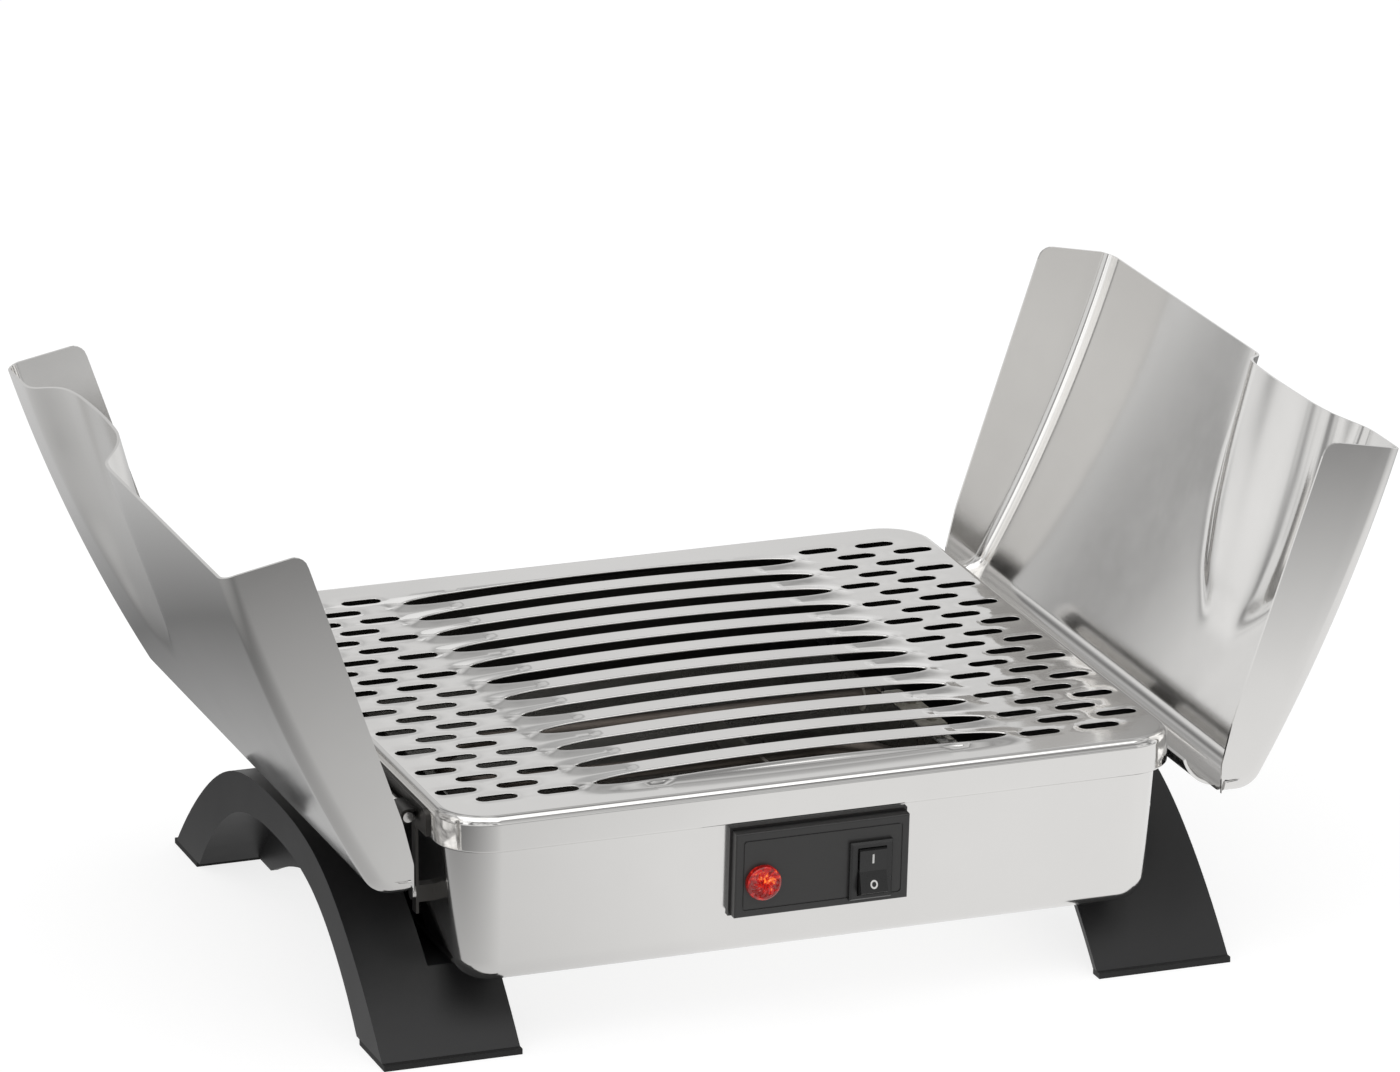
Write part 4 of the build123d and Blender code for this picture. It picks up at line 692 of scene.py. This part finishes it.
def cover_surface():
    """The cover's outside, with every rim rolled down and the skirt's edge turned in."""
    x, y, drop, lean, face_out, gauge = [], [], [], [], [], []
    faces = []
    outer_rings = []

    def add_ring(outline, centre, away, fall, tilt):
        start = len(x)
        for px, py, out in outline:
            x.append(centre[0] + px + out[0] * away)
            y.append(centre[1] + py + out[1] * away)
            drop.append(fall)
            lean.append(tilt)
            gauge.append(RIM_SHEET if tilt else COVER_SHEET)
            face_out.append((-out[0], -out[1]))
        return start

    def add_hole(outline, centre, roll, steps, flats, straight_down):
        count = len(outline)
        first = [add_ring(outline, centre, roll + away, 0, 0) for away in flats]
        for step in range(steps + 1):
            angle = math.radians(90 * step / steps)
            first.append(add_ring(outline, centre, roll * (1 - math.sin(angle)),
                                  roll * (1 - math.cos(angle)), angle))
        first.append(add_ring(outline, centre, 0, roll + straight_down, math.pi / 2))
        for a, b in zip(first, first[1:]):
            faces.extend(loop_faces(a, b, count))
        outer_rings.append((first[0], count))

    for middle in SLOTS:
        add_hole(slot_outline(), (0, middle), SLOT_ROLL, 4, (1.5, 0.6), 0.15)
    for vent in VENTS:
        add_hole(vent_outline(), vent, VENT_ROLL, 2, (1.3, 0.4), 0.08)
    edge = round_ring(COVER_HALF[0] - COVER_EDGE, COVER_HALF[1] - COVER_EDGE,
                      COVER_CORNER - COVER_EDGE, RIM_SIDES)
    rim_count = len(edge)
    flat_edge = [(px, py, (-out[0], -out[1])) for px, py, out in edge]
    rim_first = add_ring(flat_edge, (0, 0), 0, 0, 0)
    span_x = np.arange(-COVER_HALF[0] + 5, COVER_HALF[0] - 4, GRID_STEP)
    span_y = np.arange(-COVER_HALF[1] + 5, COVER_HALF[1] - 4, GRID_STEP)
    tips_x = np.arange(SLOT_STRAIGHT - 4, FIELD_HALF + 3, FINE_STEP)
    tips_y = np.arange(SLOTS[0] - 12, SLOTS[-1] + 12, FINE_STEP)
    grids = [np.meshgrid(span_x, span_y), np.meshgrid(tips_x, tips_y), np.meshgrid(-tips_x, tips_y)]
    coarse = [np.ones(grids[0][0].size, bool), np.zeros(2 * grids[1][0].size, bool)]
    grid_x, grid_y = (np.concatenate([grid[axis].ravel() for grid in grids]) for axis in (0, 1))
    coarse = np.concatenate(coarse)
    in_tips = ((np.abs(grid_x) > SLOT_STRAIGHT - 5) & (np.abs(grid_x) < FIELD_HALF + 4)
               & (grid_y > tips_y[0] - 1) & (grid_y < tips_y[-1] + 1))
    keep = ~(coarse & in_tips)
    keep &= slot_distance(grid_x, grid_y) > SLOT_ROLL + np.where(coarse, SLOT_GAP, TIP_GAP)
    keep &= vent_distance(grid_x, grid_y) > VENT_GAP
    corner_x = np.maximum(np.abs(grid_x) - (COVER_HALF[0] - COVER_CORNER), 0)
    corner_y = np.maximum(np.abs(grid_y) - (COVER_HALF[1] - COVER_CORNER), 0)
    keep &= np.hypot(corner_x, corner_y) < COVER_CORNER - COVER_EDGE - 1.5
    for px, py in zip(grid_x[keep], grid_y[keep]):
        add_ring([(px, py, (0.0, 0.0))], (0, 0), 0, 0, 0)
    used, edges, owner = [], [], {}
    for ring, (start, count) in enumerate(outer_rings + [(rim_first, rim_count)]):
        for k in range(count):
            owner[len(used) + k] = ring
            edges.append((len(used) + k, len(used) + (k + 1) % count))
        used += range(start, start + count)
    used += range(rim_first + rim_count, len(x))
    flat = [Vector((x[k], y[k])) for k in used]
    cut = delaunay_2d_cdt(flat, edges, [], 0, 1e-5)
    last_ring = len(outer_rings)
    for corners in cut[2]:
        old = [cut[3][corner][0] for corner in corners]
        rings = {owner.get(corner) for corner in old}
        if len(rings) == 1 and None not in rings and last_ring not in rings:
            continue
        faces.append(tuple(used[corner] for corner in old))
    xs, ys = np.array(x), np.array(y)
    base = cover_normals(xs, ys)
    tilt = np.array(lean)[:, None]
    out = np.concatenate((np.array(face_out), np.zeros((len(x), 1))), axis=1)
    normals = base * np.cos(tilt) + out * np.sin(tilt)
    normals /= np.linalg.norm(normals, axis=1)[:, None]
    points = np.stack((xs, ys, cover_height(xs, ys) - np.array(drop)), axis=1)
    rows, row_normals = [], []
    for step in range(1, 6):
        angle = math.radians(18 * step)
        rows.append((COVER_EDGE * (1 - math.sin(angle)),
                     COVER_TOP - COVER_EDGE * (1 - math.cos(angle)), math.sin(angle), math.cos(angle)))
    rows.append((0, SKIRT_MIDDLE, 1, 0))
    for step in range(5):
        angle = math.radians(90 * step / 4)
        rows.append((HEM * (1 - math.cos(angle)), SKIRT_BOTTOM + HEM * (1 - math.sin(angle)),
                     math.cos(angle), -math.sin(angle)))
    below = rim_first
    extra = []
    for inset, height, outward, upward in rows:
        start = len(points) + len(extra)
        for (px, py, side) in round_ring(COVER_HALF[0] - inset, COVER_HALF[1] - inset,
                                         COVER_CORNER - inset, RIM_SIDES):
            extra.append((px, py, height))
            row_normals.append((side[0] * outward, side[1] * outward, upward))
        faces.extend(loop_faces(start, below, rim_count))
        below = start
    points = np.concatenate((points, np.array(extra)))
    normals = np.concatenate((normals, np.array(row_normals)))
    return points, normals, faces, np.array(gauge + [COVER_SHEET] * len(extra))


cover_steel = polished_sheet("cover_steel", STEEL_COLOUR, 0.05, 0.10, 0.035, 0.006)
# The cover's underside gets the same near-black painted shade.
cover_mesh = sheet_mesh("cover", *cover_surface(), painted_shade_inside)
shown("cover", cover_mesh, cover_steel, "base", ["top_cover"])

# Side wings. Each is one stamped stainless sheet, polished on both faces: a bowed panel with a
# pressed finger grip, folded end flanges, and a curl whose knuckles roll round the hinge rod.
# The left wing is the right one turned half round.

HINGE = (134.8, 78.8)
WING_HALF = 127.5
WING_FOLD = 5.0
WING_CORNER = 10.0
CORNER_MIDDLE = (151.1, 74.6)
PANEL_RISE = math.radians(60.2)
PANEL_BOW = 590.0
BOW_MIDDLE = (CORNER_MIDDLE[0] - (PANEL_BOW - WING_CORNER) * math.sin(PANEL_RISE),
              CORNER_MIDDLE[1] + (PANEL_BOW - WING_CORNER) * math.cos(PANEL_RISE))
WING_HEIGHT = 180.0
PANEL_LENGTH = PANEL_BOW * (math.acos((BOW_MIDDLE[1] - WING_HEIGHT) / PANEL_BOW) - PANEL_RISE)
CURL_MIDDLE = (147.6, 78.6)
CURL_RADIUS = 14.0
CURL_SPAN = (-118.0, 80.0)
CURL_END = math.radians(-165.0)
FOOT_ANGLE = math.radians(-103.6)
FLANGE_FREE = ((144.3, 75.0), (148.0, 90.0), (180.8, 186.2))
FLANGE_ROUND = 5.0
GRIP_DEPTH = 12.4
GRIP_FALL = 88.0
GRIP_SPAN = (8.0, 99.5)
# The grip's depth across its width, and its depth and closing-in down from the top edge
GRIP_ACROSS = ((-0.07, 0.0), (0.0, 0.06), (0.05, 0.34), (0.1, 0.62), (0.17, 0.84), (0.25, 0.95),
               (0.45, 1.0), (0.7, 0.94), (0.84, 0.80), (0.92, 0.52), (0.985, 0.11), (1.05, 0.0))
GRIP_DOWN = ((-0.1, 1.03), (0.0, 1.0), (0.25, 0.87), (0.55, 0.60), (0.8, 0.29), (0.93, 0.11),
             (1.05, 0.0))
GRIP_CLOSING = ((-0.1, 0.0), (0.25, 0.02), (0.55, 0.13), (0.8, 0.36), (1.05, 0.72))
KNUCKLES = ((-79.5, -12.5), (12.5, 79.5))
KNUCKLE_RADII = (2.4, 1.3)
PANEL_ROWS = 72
GRIP_SOFTENING = 3


def smooth_table(table, value):
    """A value read from a table by a monotone cubic."""
    places = [row[0] for row in table]
    heights = [row[1] for row in table]
    if value <= places[0]:
        return heights[0]
    if value >= places[-1]:
        return heights[-1]
    slopes = [(heights[k + 1] - heights[k]) / (places[k + 1] - places[k]) for k in range(len(table) - 1)]
    tangents = [0.0]
    for before, after in zip(slopes, slopes[1:]):
        tangents.append(0.0 if before * after <= 0 else 2 * before * after / (before + after))
    tangents.append(0.0)
    k = max(i for i in range(len(table) - 1) if places[i] <= value)
    width = places[k + 1] - places[k]
    t = (value - places[k]) / width
    return (heights[k] * (1 + 2 * t) * (1 - t) ** 2 + tangents[k] * width * t * (1 - t) ** 2
            + heights[k + 1] * t * t * (3 - 2 * t) + tangents[k + 1] * width * t * t * (t - 1))


def grip_depth(y, fall):
    """How deep the finger grip is at a place on the panel, fall millimetres below its edge."""
    share = fall / GRIP_FALL
    middle = sum(GRIP_SPAN) / 2
    closing = smooth_table(GRIP_CLOSING, share)
    inner = GRIP_SPAN[0] + (middle - GRIP_SPAN[0]) * closing
    outer = GRIP_SPAN[1] - (GRIP_SPAN[1] - middle) * closing
    across = smooth_table(GRIP_ACROSS, (-y - inner) / (outer - inner))
    return GRIP_DEPTH * across * smooth_table(GRIP_DOWN, share)


def wing_rows():
    """The wing's section from the curl's end to the top edge: point, inward direction and fall."""
    rows = []
    for step in range(11):
        angle = CURL_END + (FOOT_ANGLE - CURL_END) * step / 10
        rows.append((CURL_MIDDLE, CURL_RADIUS, angle, None))
    for step in range(1, 4):
        rows.append((CURL_MIDDLE, CURL_RADIUS, FOOT_ANGLE + (-math.pi / 2 - FOOT_ANGLE) * step / 3, None))
    for step in range(13):
        rows.append((CORNER_MIDDLE, WING_CORNER, PANEL_RISE * step / 12 - math.pi / 2, None))
    for step in range(1, PANEL_ROWS + 1):
        along = PANEL_LENGTH * step / PANEL_ROWS
        rows.append((BOW_MIDDLE, PANEL_BOW, PANEL_RISE + along / PANEL_BOW - math.pi / 2,
                     PANEL_LENGTH - along))
    section = []
    for middle, radius, angle, fall in rows:
        out = (math.cos(angle), math.sin(angle))
        section.append(((middle[0] + radius * out[0], middle[1] + radius * out[1]),
                        (-out[0], -out[1]), fall))
    return section


def free_edge(section, first):
    """Where the flange ends on each row: along its free edge, with the top corner rounded."""
    foot, waist, top = (Vector(point) for point in FLANGE_FREE)
    tip = Vector(section[-1][0])
    down = (waist - top).normalized()
    back = (tip - top).normalized()
    half = down.angle(back) / 2
    tangent = FLANGE_ROUND / math.tan(half)
    middle = top + (down + back).normalized() * FLANGE_ROUND / math.sin(half)
    low, high = top + down * tangent, top + back * tangent
    ends = []
    for point, inward, fall in section[first:]:
        start = Vector(point)
        if fall is None:
            ends.append(None)
            continue
        hit = None
        for a, b in ((foot, waist), (waist, low)):
            side = b - a
            cross = inward[0] * side.y - inward[1] * side.x
            gap = a - start
            along = (gap.x * side.y - gap.y * side.x) / cross
            share = (gap.x * inward[1] - gap.y * inward[0]) / cross
            if along > 0 and -1e-6 <= share <= 1:
                hit = a + side * share
        ends.append(hit if hit else "round")
    bottom = [k for k, end in enumerate(ends) if end is None]
    below = Vector((FLANGE_FREE[0][0], section[first][0][1]))
    upper = ends[len(bottom)]
    for k in bottom:
        share = k / len(bottom)
        route = (foot - below).length + (upper - foot).length
        walked = share * route
        if walked < (foot - below).length:
            ends[k] = below + (foot - below).normalized() * walked
        else:
            ends[k] = foot + (upper - foot).normalized() * (walked - (foot - below).length)
    rounded = [k for k, end in enumerate(ends) if isinstance(end, str)]
    turn = (low - middle).angle_signed(high - middle)
    for count, k in enumerate(rounded):
        share = (count + 1) / len(rounded)
        arm = low - middle
        angle = -turn * share
        ends[k] = middle + Vector((arm.x * math.cos(angle) - arm.y * math.sin(angle),
                                   arm.x * math.sin(angle) + arm.y * math.cos(angle)))
    return ends


def wing_surface():
    """The right wing's outside: a grid over panel, folds and curl, with a flange at both ends."""
    section = wing_rows()
    first = 10
    flat = WING_HALF - WING_FOLD
    stops = sorted({-flat, -118.0, -104.0, -4.0, 80.0, flat})
    across = []
    for low, high in zip(stops, stops[1:]):
        pitch = 1.6 if -104 <= low < -4 else 4.0
        count = max(1, round((high - low) / pitch))
        across += [low + (high - low) * k / count for k in range(count)]
    across.append(flat)
    columns = [(y, 0.0) for y in across]
    for step in range(1, 8):
        angle = math.radians(90 * step / 7)
        fold = (flat + WING_FOLD * math.sin(angle), WING_FOLD * (1 - math.cos(angle)))
        columns.append(fold)
        columns.insert(0, (-fold[0], fold[1]))
    dent = np.array([[0.0 if fall is None or sunk else grip_depth(y, fall) for y, sunk in columns]
                     for point, inward, fall in section])
    for _ in range(GRIP_SOFTENING):
        dent[:, 1:-1] = (dent[:, :-2] + 2 * dent[:, 1:-1] + dent[:, 2:]) / 4
        dent[1:-1] = (dent[:-2] + 2 * dent[1:-1] + dent[2:]) / 4
        dent[-1] = 2 * dent[-2] - dent[-3]
    points, faces = [], []
    index = {}
    for row, (point, inward, fall) in enumerate(section):
        for column, (y, sunk) in enumerate(columns):
            if row < first and not CURL_SPAN[0] <= y <= CURL_SPAN[1]:
                continue
            depth = sunk + dent[row, column]
            index[row, column] = len(points)
            points.append((point[0] + inward[0] * depth, y, point[1] + inward[1] * depth))
    for row in range(len(section) - 1):
        for column in range(len(columns) - 1):
            corners = ((row, column), (row + 1, column), (row + 1, column + 1), (row, column + 1))
            if all(corner in index for corner in corners):
                faces.append(tuple(index[corner] for corner in reversed(corners)))
    ends = free_edge(section, first)
    for column, side in ((0, -1), (len(columns) - 1, 1)):
        before = None
        for row in range(first, len(section)):
            start = Vector((points[index[row, column]][0], points[index[row, column]][2]))
            end = ends[row - first]
            line = [index[row, column]]
            for step in range(1, 6):
                place = start.lerp(end, step / 5)
                line.append(len(points))
                points.append((place.x, side * WING_HALF, place.y))
            if before:
                for k in range(5):
                    quad = (before[k], line[k], line[k + 1], before[k + 1])
                    faces.append(quad if side < 0 else tuple(reversed(quad)))
            before = line
    return points, faces


def knuckle_mesh(turned):
    """The wing's rolled knuckles round the hinge rod, with rounded ends."""
    sides = 28
    outer, inner = KNUCKLE_RADII
    points, faces = [], []
    for low, high in KNUCKLES:
        rings = [(outer - 0.3, low), (outer, low + 0.3), (outer, high - 0.3), (outer - 0.3, high),
                 (inner, high), (inner, low)]
        start = len(points)
        for radius, y in rings:
            for side in range(sides):
                angle = math.radians(360 * side / sides)
                points.append((HINGE[0] + radius * math.cos(angle), y,
                               HINGE[1] + radius * math.sin(angle)))
        for ring in range(len(rings)):
            faces += loop_faces(start + (ring + 1) % len(rings) * sides, start + ring * sides, sides)
    if turned:
        points = [(-x, -y, z) for x, y, z in points]
    return points, faces


wing_steel = polished_sheet("wing_steel", STEEL_COLOUR, 0.09, 0.15, 0.04, 0.008)
wing_points, wing_faces = wing_surface()
wing_normals = corner_normals(wing_points, wing_faces)
for side in ("right", "left"):
    sign = 1 if side == "right" else -1
    turned_points = [(sign * x, sign * y, z) for x, y, z in wing_points]
    turned_normals = wing_normals * np.array((sign, sign, 1))
    wing = sheet_mesh(f"{side}_wing_sheet", turned_points, turned_normals, wing_faces)
    shown(f"{side}_wing_sheet", wing, wing_steel, f"{side}_wing_body",
          [f"{side}_wing"])
    knuckle = plain_mesh(f"{side}_wing_knuckles", *knuckle_mesh(side == "left"), True)
    rolled = shown(f"{side}_wing_knuckles", knuckle, wing_steel, f"{side}_wing_body")
    rolled.modifiers.new("even", "WEIGHTED_NORMAL").keep_sharp = True

# Studio. A pale floor, which the steel mirrors with a painted pool of light, a white surround
# with soft grey bands for the steel to mirror, and large soft lamps above and beside the warmer.

FLOOR_HALF = 4000.0
SURROUND = 0.62
SKY_BANDS = ((0.0, 0.80), (0.06, 0.92), (0.16, 0.80), (0.30, 0.84), (0.42, 0.70), (0.52, 0.50),
             (0.66, 0.45), (0.78, 0.80), (1.0, 0.60))
STREAK_SHADES = ((0.30, 0.30), (0.44, 0.62), (0.52, 0.95), (0.60, 1.0), (0.72, 0.62))
FLOOR_SHADES = ((0.0, 1.0), (0.26, 0.95), (0.38, 0.66), (0.50, 0.42), (0.60, 0.20),
                (0.72, 0.55), (1.0, 0.9))
FLOOR_BRIGHT = (0.24, -0.16, 0.0)  # the brightest place of the mirrored floor


def mirrored_or(tree, plain, mirrored, also_seen):
    """Mix shaders: mirrored is what steel and glass mirror, also_seen what the camera sees, plain the
    rest.
    """
    path = tree.nodes.new("ShaderNodeLightPath")
    both = add_node(tree, "ShaderNodeMath", operation="MAXIMUM")
    join(tree, path, "Is Glossy Ray", both, 0)
    join(tree, path, "Is Transmission Ray", both, 1)
    mix = tree.nodes.new("ShaderNodeMixShader")
    join(tree, both, "Value", mix, "Fac")
    tree.links.new(plain, mix.inputs[1])
    tree.links.new(mirrored, mix.inputs[2])
    last = tree.nodes.new("ShaderNodeMixShader")
    join(tree, path, "Is Camera Ray", last, "Fac")
    join(tree, mix, "Shader", last, 1)
    tree.links.new(also_seen, last.inputs[2])
    return last.outputs["Shader"]


def grey_ramp(tree, shades):
    """A ramp of plain greys."""
    ramp = tree.nodes.new("ShaderNodeValToRGB")
    bands = ramp.color_ramp.elements
    bands[0].position, bands[1].position = shades[0][0], shades[-1][0]
    bands[0].color, bands[1].color = (*[shades[0][1]] * 3, 1), (*[shades[-1][1]] * 3, 1)
    for place, tone in shades[1:-1]:
        bands.new(place).color = (tone, tone, tone, 1)
    return ramp


def streaks(tree, place, scale, shades):
    """Soft patches of grey, stretched by a scale along each axis."""
    stretch = add_node(tree, "ShaderNodeMapping")
    stretch.inputs["Scale"].default_value = scale
    patches = add_node(tree, "ShaderNodeTexNoise", Scale=1.0, Detail=1.5)
    ramp = grey_ramp(tree, shades)
    tree.links.new(place, stretch.inputs["Vector"])
    join(tree, stretch, "Vector", patches, "Vector")
    join(tree, patches, "Fac", ramp, "Fac")
    return ramp.outputs["Color"]


world = bpy.data.worlds.new("studio")
bpy.context.scene.world = world
world.use_nodes = True
sky = world.node_tree
plain_light = sky.nodes["Background"]
plain_light.inputs["Color"].default_value = (1, 1, 1, 1)
plain_light.inputs["Strength"].default_value = SURROUND
white = add_node(sky, "ShaderNodeBackground", Color=(1, 1, 1, 1), Strength=1.0)
mirror_sky = add_node(sky, "ShaderNodeBackground", Strength=1.0)
way = sky.nodes.new("ShaderNodeTexCoord")
parts = sky.nodes.new("ShaderNodeSeparateXYZ")
heights = grey_ramp(sky, SKY_BANDS)
shaded = add_node(sky, "ShaderNodeVectorMath", operation="MULTIPLY")
join(sky, way, "Generated", parts, "Vector")
join(sky, parts, "Z", heights, "Fac")
join(sky, heights, "Color", shaded, 0)
sky.links.new(streaks(sky, way.outputs["Generated"], (5.0, 5.0, 1.2), STREAK_SHADES), shaded.inputs[1])
join(sky, shaded, "Vector", mirror_sky, "Color")
sky.links.new(mirrored_or(sky, plain_light.outputs["Background"], mirror_sky.outputs["Background"],
                          white.outputs["Background"]), sky.nodes["World Output"].inputs["Surface"])

floor_mesh = plain_mesh("floor", [(x * FLOOR_HALF, y * FLOOR_HALF, 0)
                                  for x, y in ((-1, -1), (1, -1), (1, 1), (-1, 1))], [(0, 1, 2, 3)])
floor = bpy.data.objects.new("floor", floor_mesh)
bpy.context.scene.collection.objects.link(floor)
floor_paint, floor_tree, floor_shader = new_material("floor_paint")[:3]
floor_shader.inputs["Base Color"].default_value = (0.6, 0.6, 0.6, 1)
floor_shader.inputs["Roughness"].default_value = 1.0
floor_shader.inputs["Specular IOR Level"].default_value = 0.0
seen_shader = add_node(floor_tree, "ShaderNodeBsdfDiffuse", Color=(0.28, 0.28, 0.28, 1))
seen_glow = add_node(floor_tree, "ShaderNodeEmission", Color=(1, 1, 1, 1), Strength=0.80)
seen_floor = floor_tree.nodes.new("ShaderNodeAddShader")
join(floor_tree, seen_shader, "BSDF", seen_floor, 0)
join(floor_tree, seen_glow, "Emission", seen_floor, 1)
# Painted reflection: mirrors see the floor as a pool of light, brightest at FLOOR_BRIGHT and darker with
# distance, while the camera sees it evenly pale.
mirror_glow = add_node(floor_tree, "ShaderNodeEmission", Strength=0.92)
floor_place = floor_tree.nodes.new("ShaderNodeTexCoord")
bright_spot = add_node(floor_tree, "ShaderNodeVectorMath", operation="DISTANCE")
bright_spot.inputs[1].default_value = FLOOR_BRIGHT
fading = grey_ramp(floor_tree, FLOOR_SHADES)
join(floor_tree, floor_place, "Object", bright_spot, 0)
join(floor_tree, bright_spot, "Value", fading, "Fac")
join(floor_tree, fading, "Color", mirror_glow, "Color")
floor_surface = mirrored_or(floor_tree, floor_shader.outputs["BSDF"], mirror_glow.outputs["Emission"],
                            seen_floor.outputs["Shader"])
floor_tree.links.new(floor_surface, floor_tree.nodes["Material Output"].inputs["Surface"])
floor_mesh.materials.append(floor_paint)

# Reflection cards. Three graded boards just outside the picture, which only the steel mirrors;
# they give its flat faces soft gradients.


def card(name, corners, shades, scale):
    """A board that only mirrors see, with patches of grey."""
    mesh = plain_mesh(name, corners, [(0, 1, 2, 3)])
    board = bpy.data.objects.new(name, mesh)
    bpy.context.scene.collection.objects.link(board)
    material = bpy.data.materials.new(name)
    material.use_nodes = True
    tree = material.node_tree
    tree.nodes.remove(tree.nodes["Principled BSDF"])
    clear = tree.nodes.new("ShaderNodeBsdfTransparent")
    glow = tree.nodes.new("ShaderNodeEmission")
    place = tree.nodes.new("ShaderNodeTexCoord")
    tree.links.new(streaks(tree, place.outputs["Object"], scale, shades), glow.inputs["Color"])
    only_mirrored = mirrored_or(tree, clear.outputs["BSDF"], glow.outputs["Emission"],
                                clear.outputs["BSDF"])
    tree.links.new(only_mirrored, tree.nodes["Material Output"].inputs["Surface"])
    mesh.materials.append(material)


card("back_card", [(-520, 640, 30), (120, 640, 30), (120, 640, 250), (-520, 640, 250)],
     ((0.34, 0.22), (0.46, 0.52), (0.54, 0.85), (0.68, 0.95)), (6.5, 1.0, 3.0))
for name, x in (("left_card", -760), ("right_card", 760)):
    card(name, [(x, -420, 20), (x, 420, 20), (x, 420, 330), (x, -420, 330)],
         ((0.34, 0.30), (0.46, 0.62), (0.56, 0.92), (0.70, 0.75)), (1.0, 5.0, 3.0))

LAMP_AIM = Vector((0, 0, 0.08))
LAMPS = (("top_lamp", (-0.25, -0.45, 1.5), (2.0, 1.7), 10.0),
         ("left_lamp", (-1.9, -0.6, 0.9), (1.6, 1.4), 4.0),
         ("right_lamp", (1.8, 0.3, 1.0), (1.4, 1.2), 4.0))
for name, place, size, power in LAMPS:
    lamp = bpy.data.lights.new(name, "AREA")
    lamp.shape = "RECTANGLE"
    lamp.size, lamp.size_y = size
    lamp.energy = power
    stand = bpy.data.objects.new(name, lamp)
    stand.location = place
    stand.rotation_mode = "QUATERNION"
    stand.rotation_quaternion = (LAMP_AIM - Vector(place)).to_track_quat("-Z", "Y")
    bpy.context.scene.collection.objects.link(stand)

CAMERA_PLACE = (-1.0114, -2.7654, 1.0836)
CAMERA_AIM = Vector((0.3236, 0.8949, -0.3074))
camera = bpy.data.objects.new("camera", bpy.data.cameras.new("camera"))
bpy.context.scene.collection.objects.link(camera)
camera.location = CAMERA_PLACE
camera.rotation_mode = "QUATERNION"
camera.rotation_quaternion = CAMERA_AIM.to_track_quat("-Z", "Y")
camera.data.lens = 230.9
camera.data.sensor_width = 36.0
camera.data.shift_x = 0.027
camera.data.shift_y = 0.0032
camera.data.clip_start = 0.01
bpy.context.scene.camera = camera
bpy.context.scene.view_settings.view_transform = "Standard"
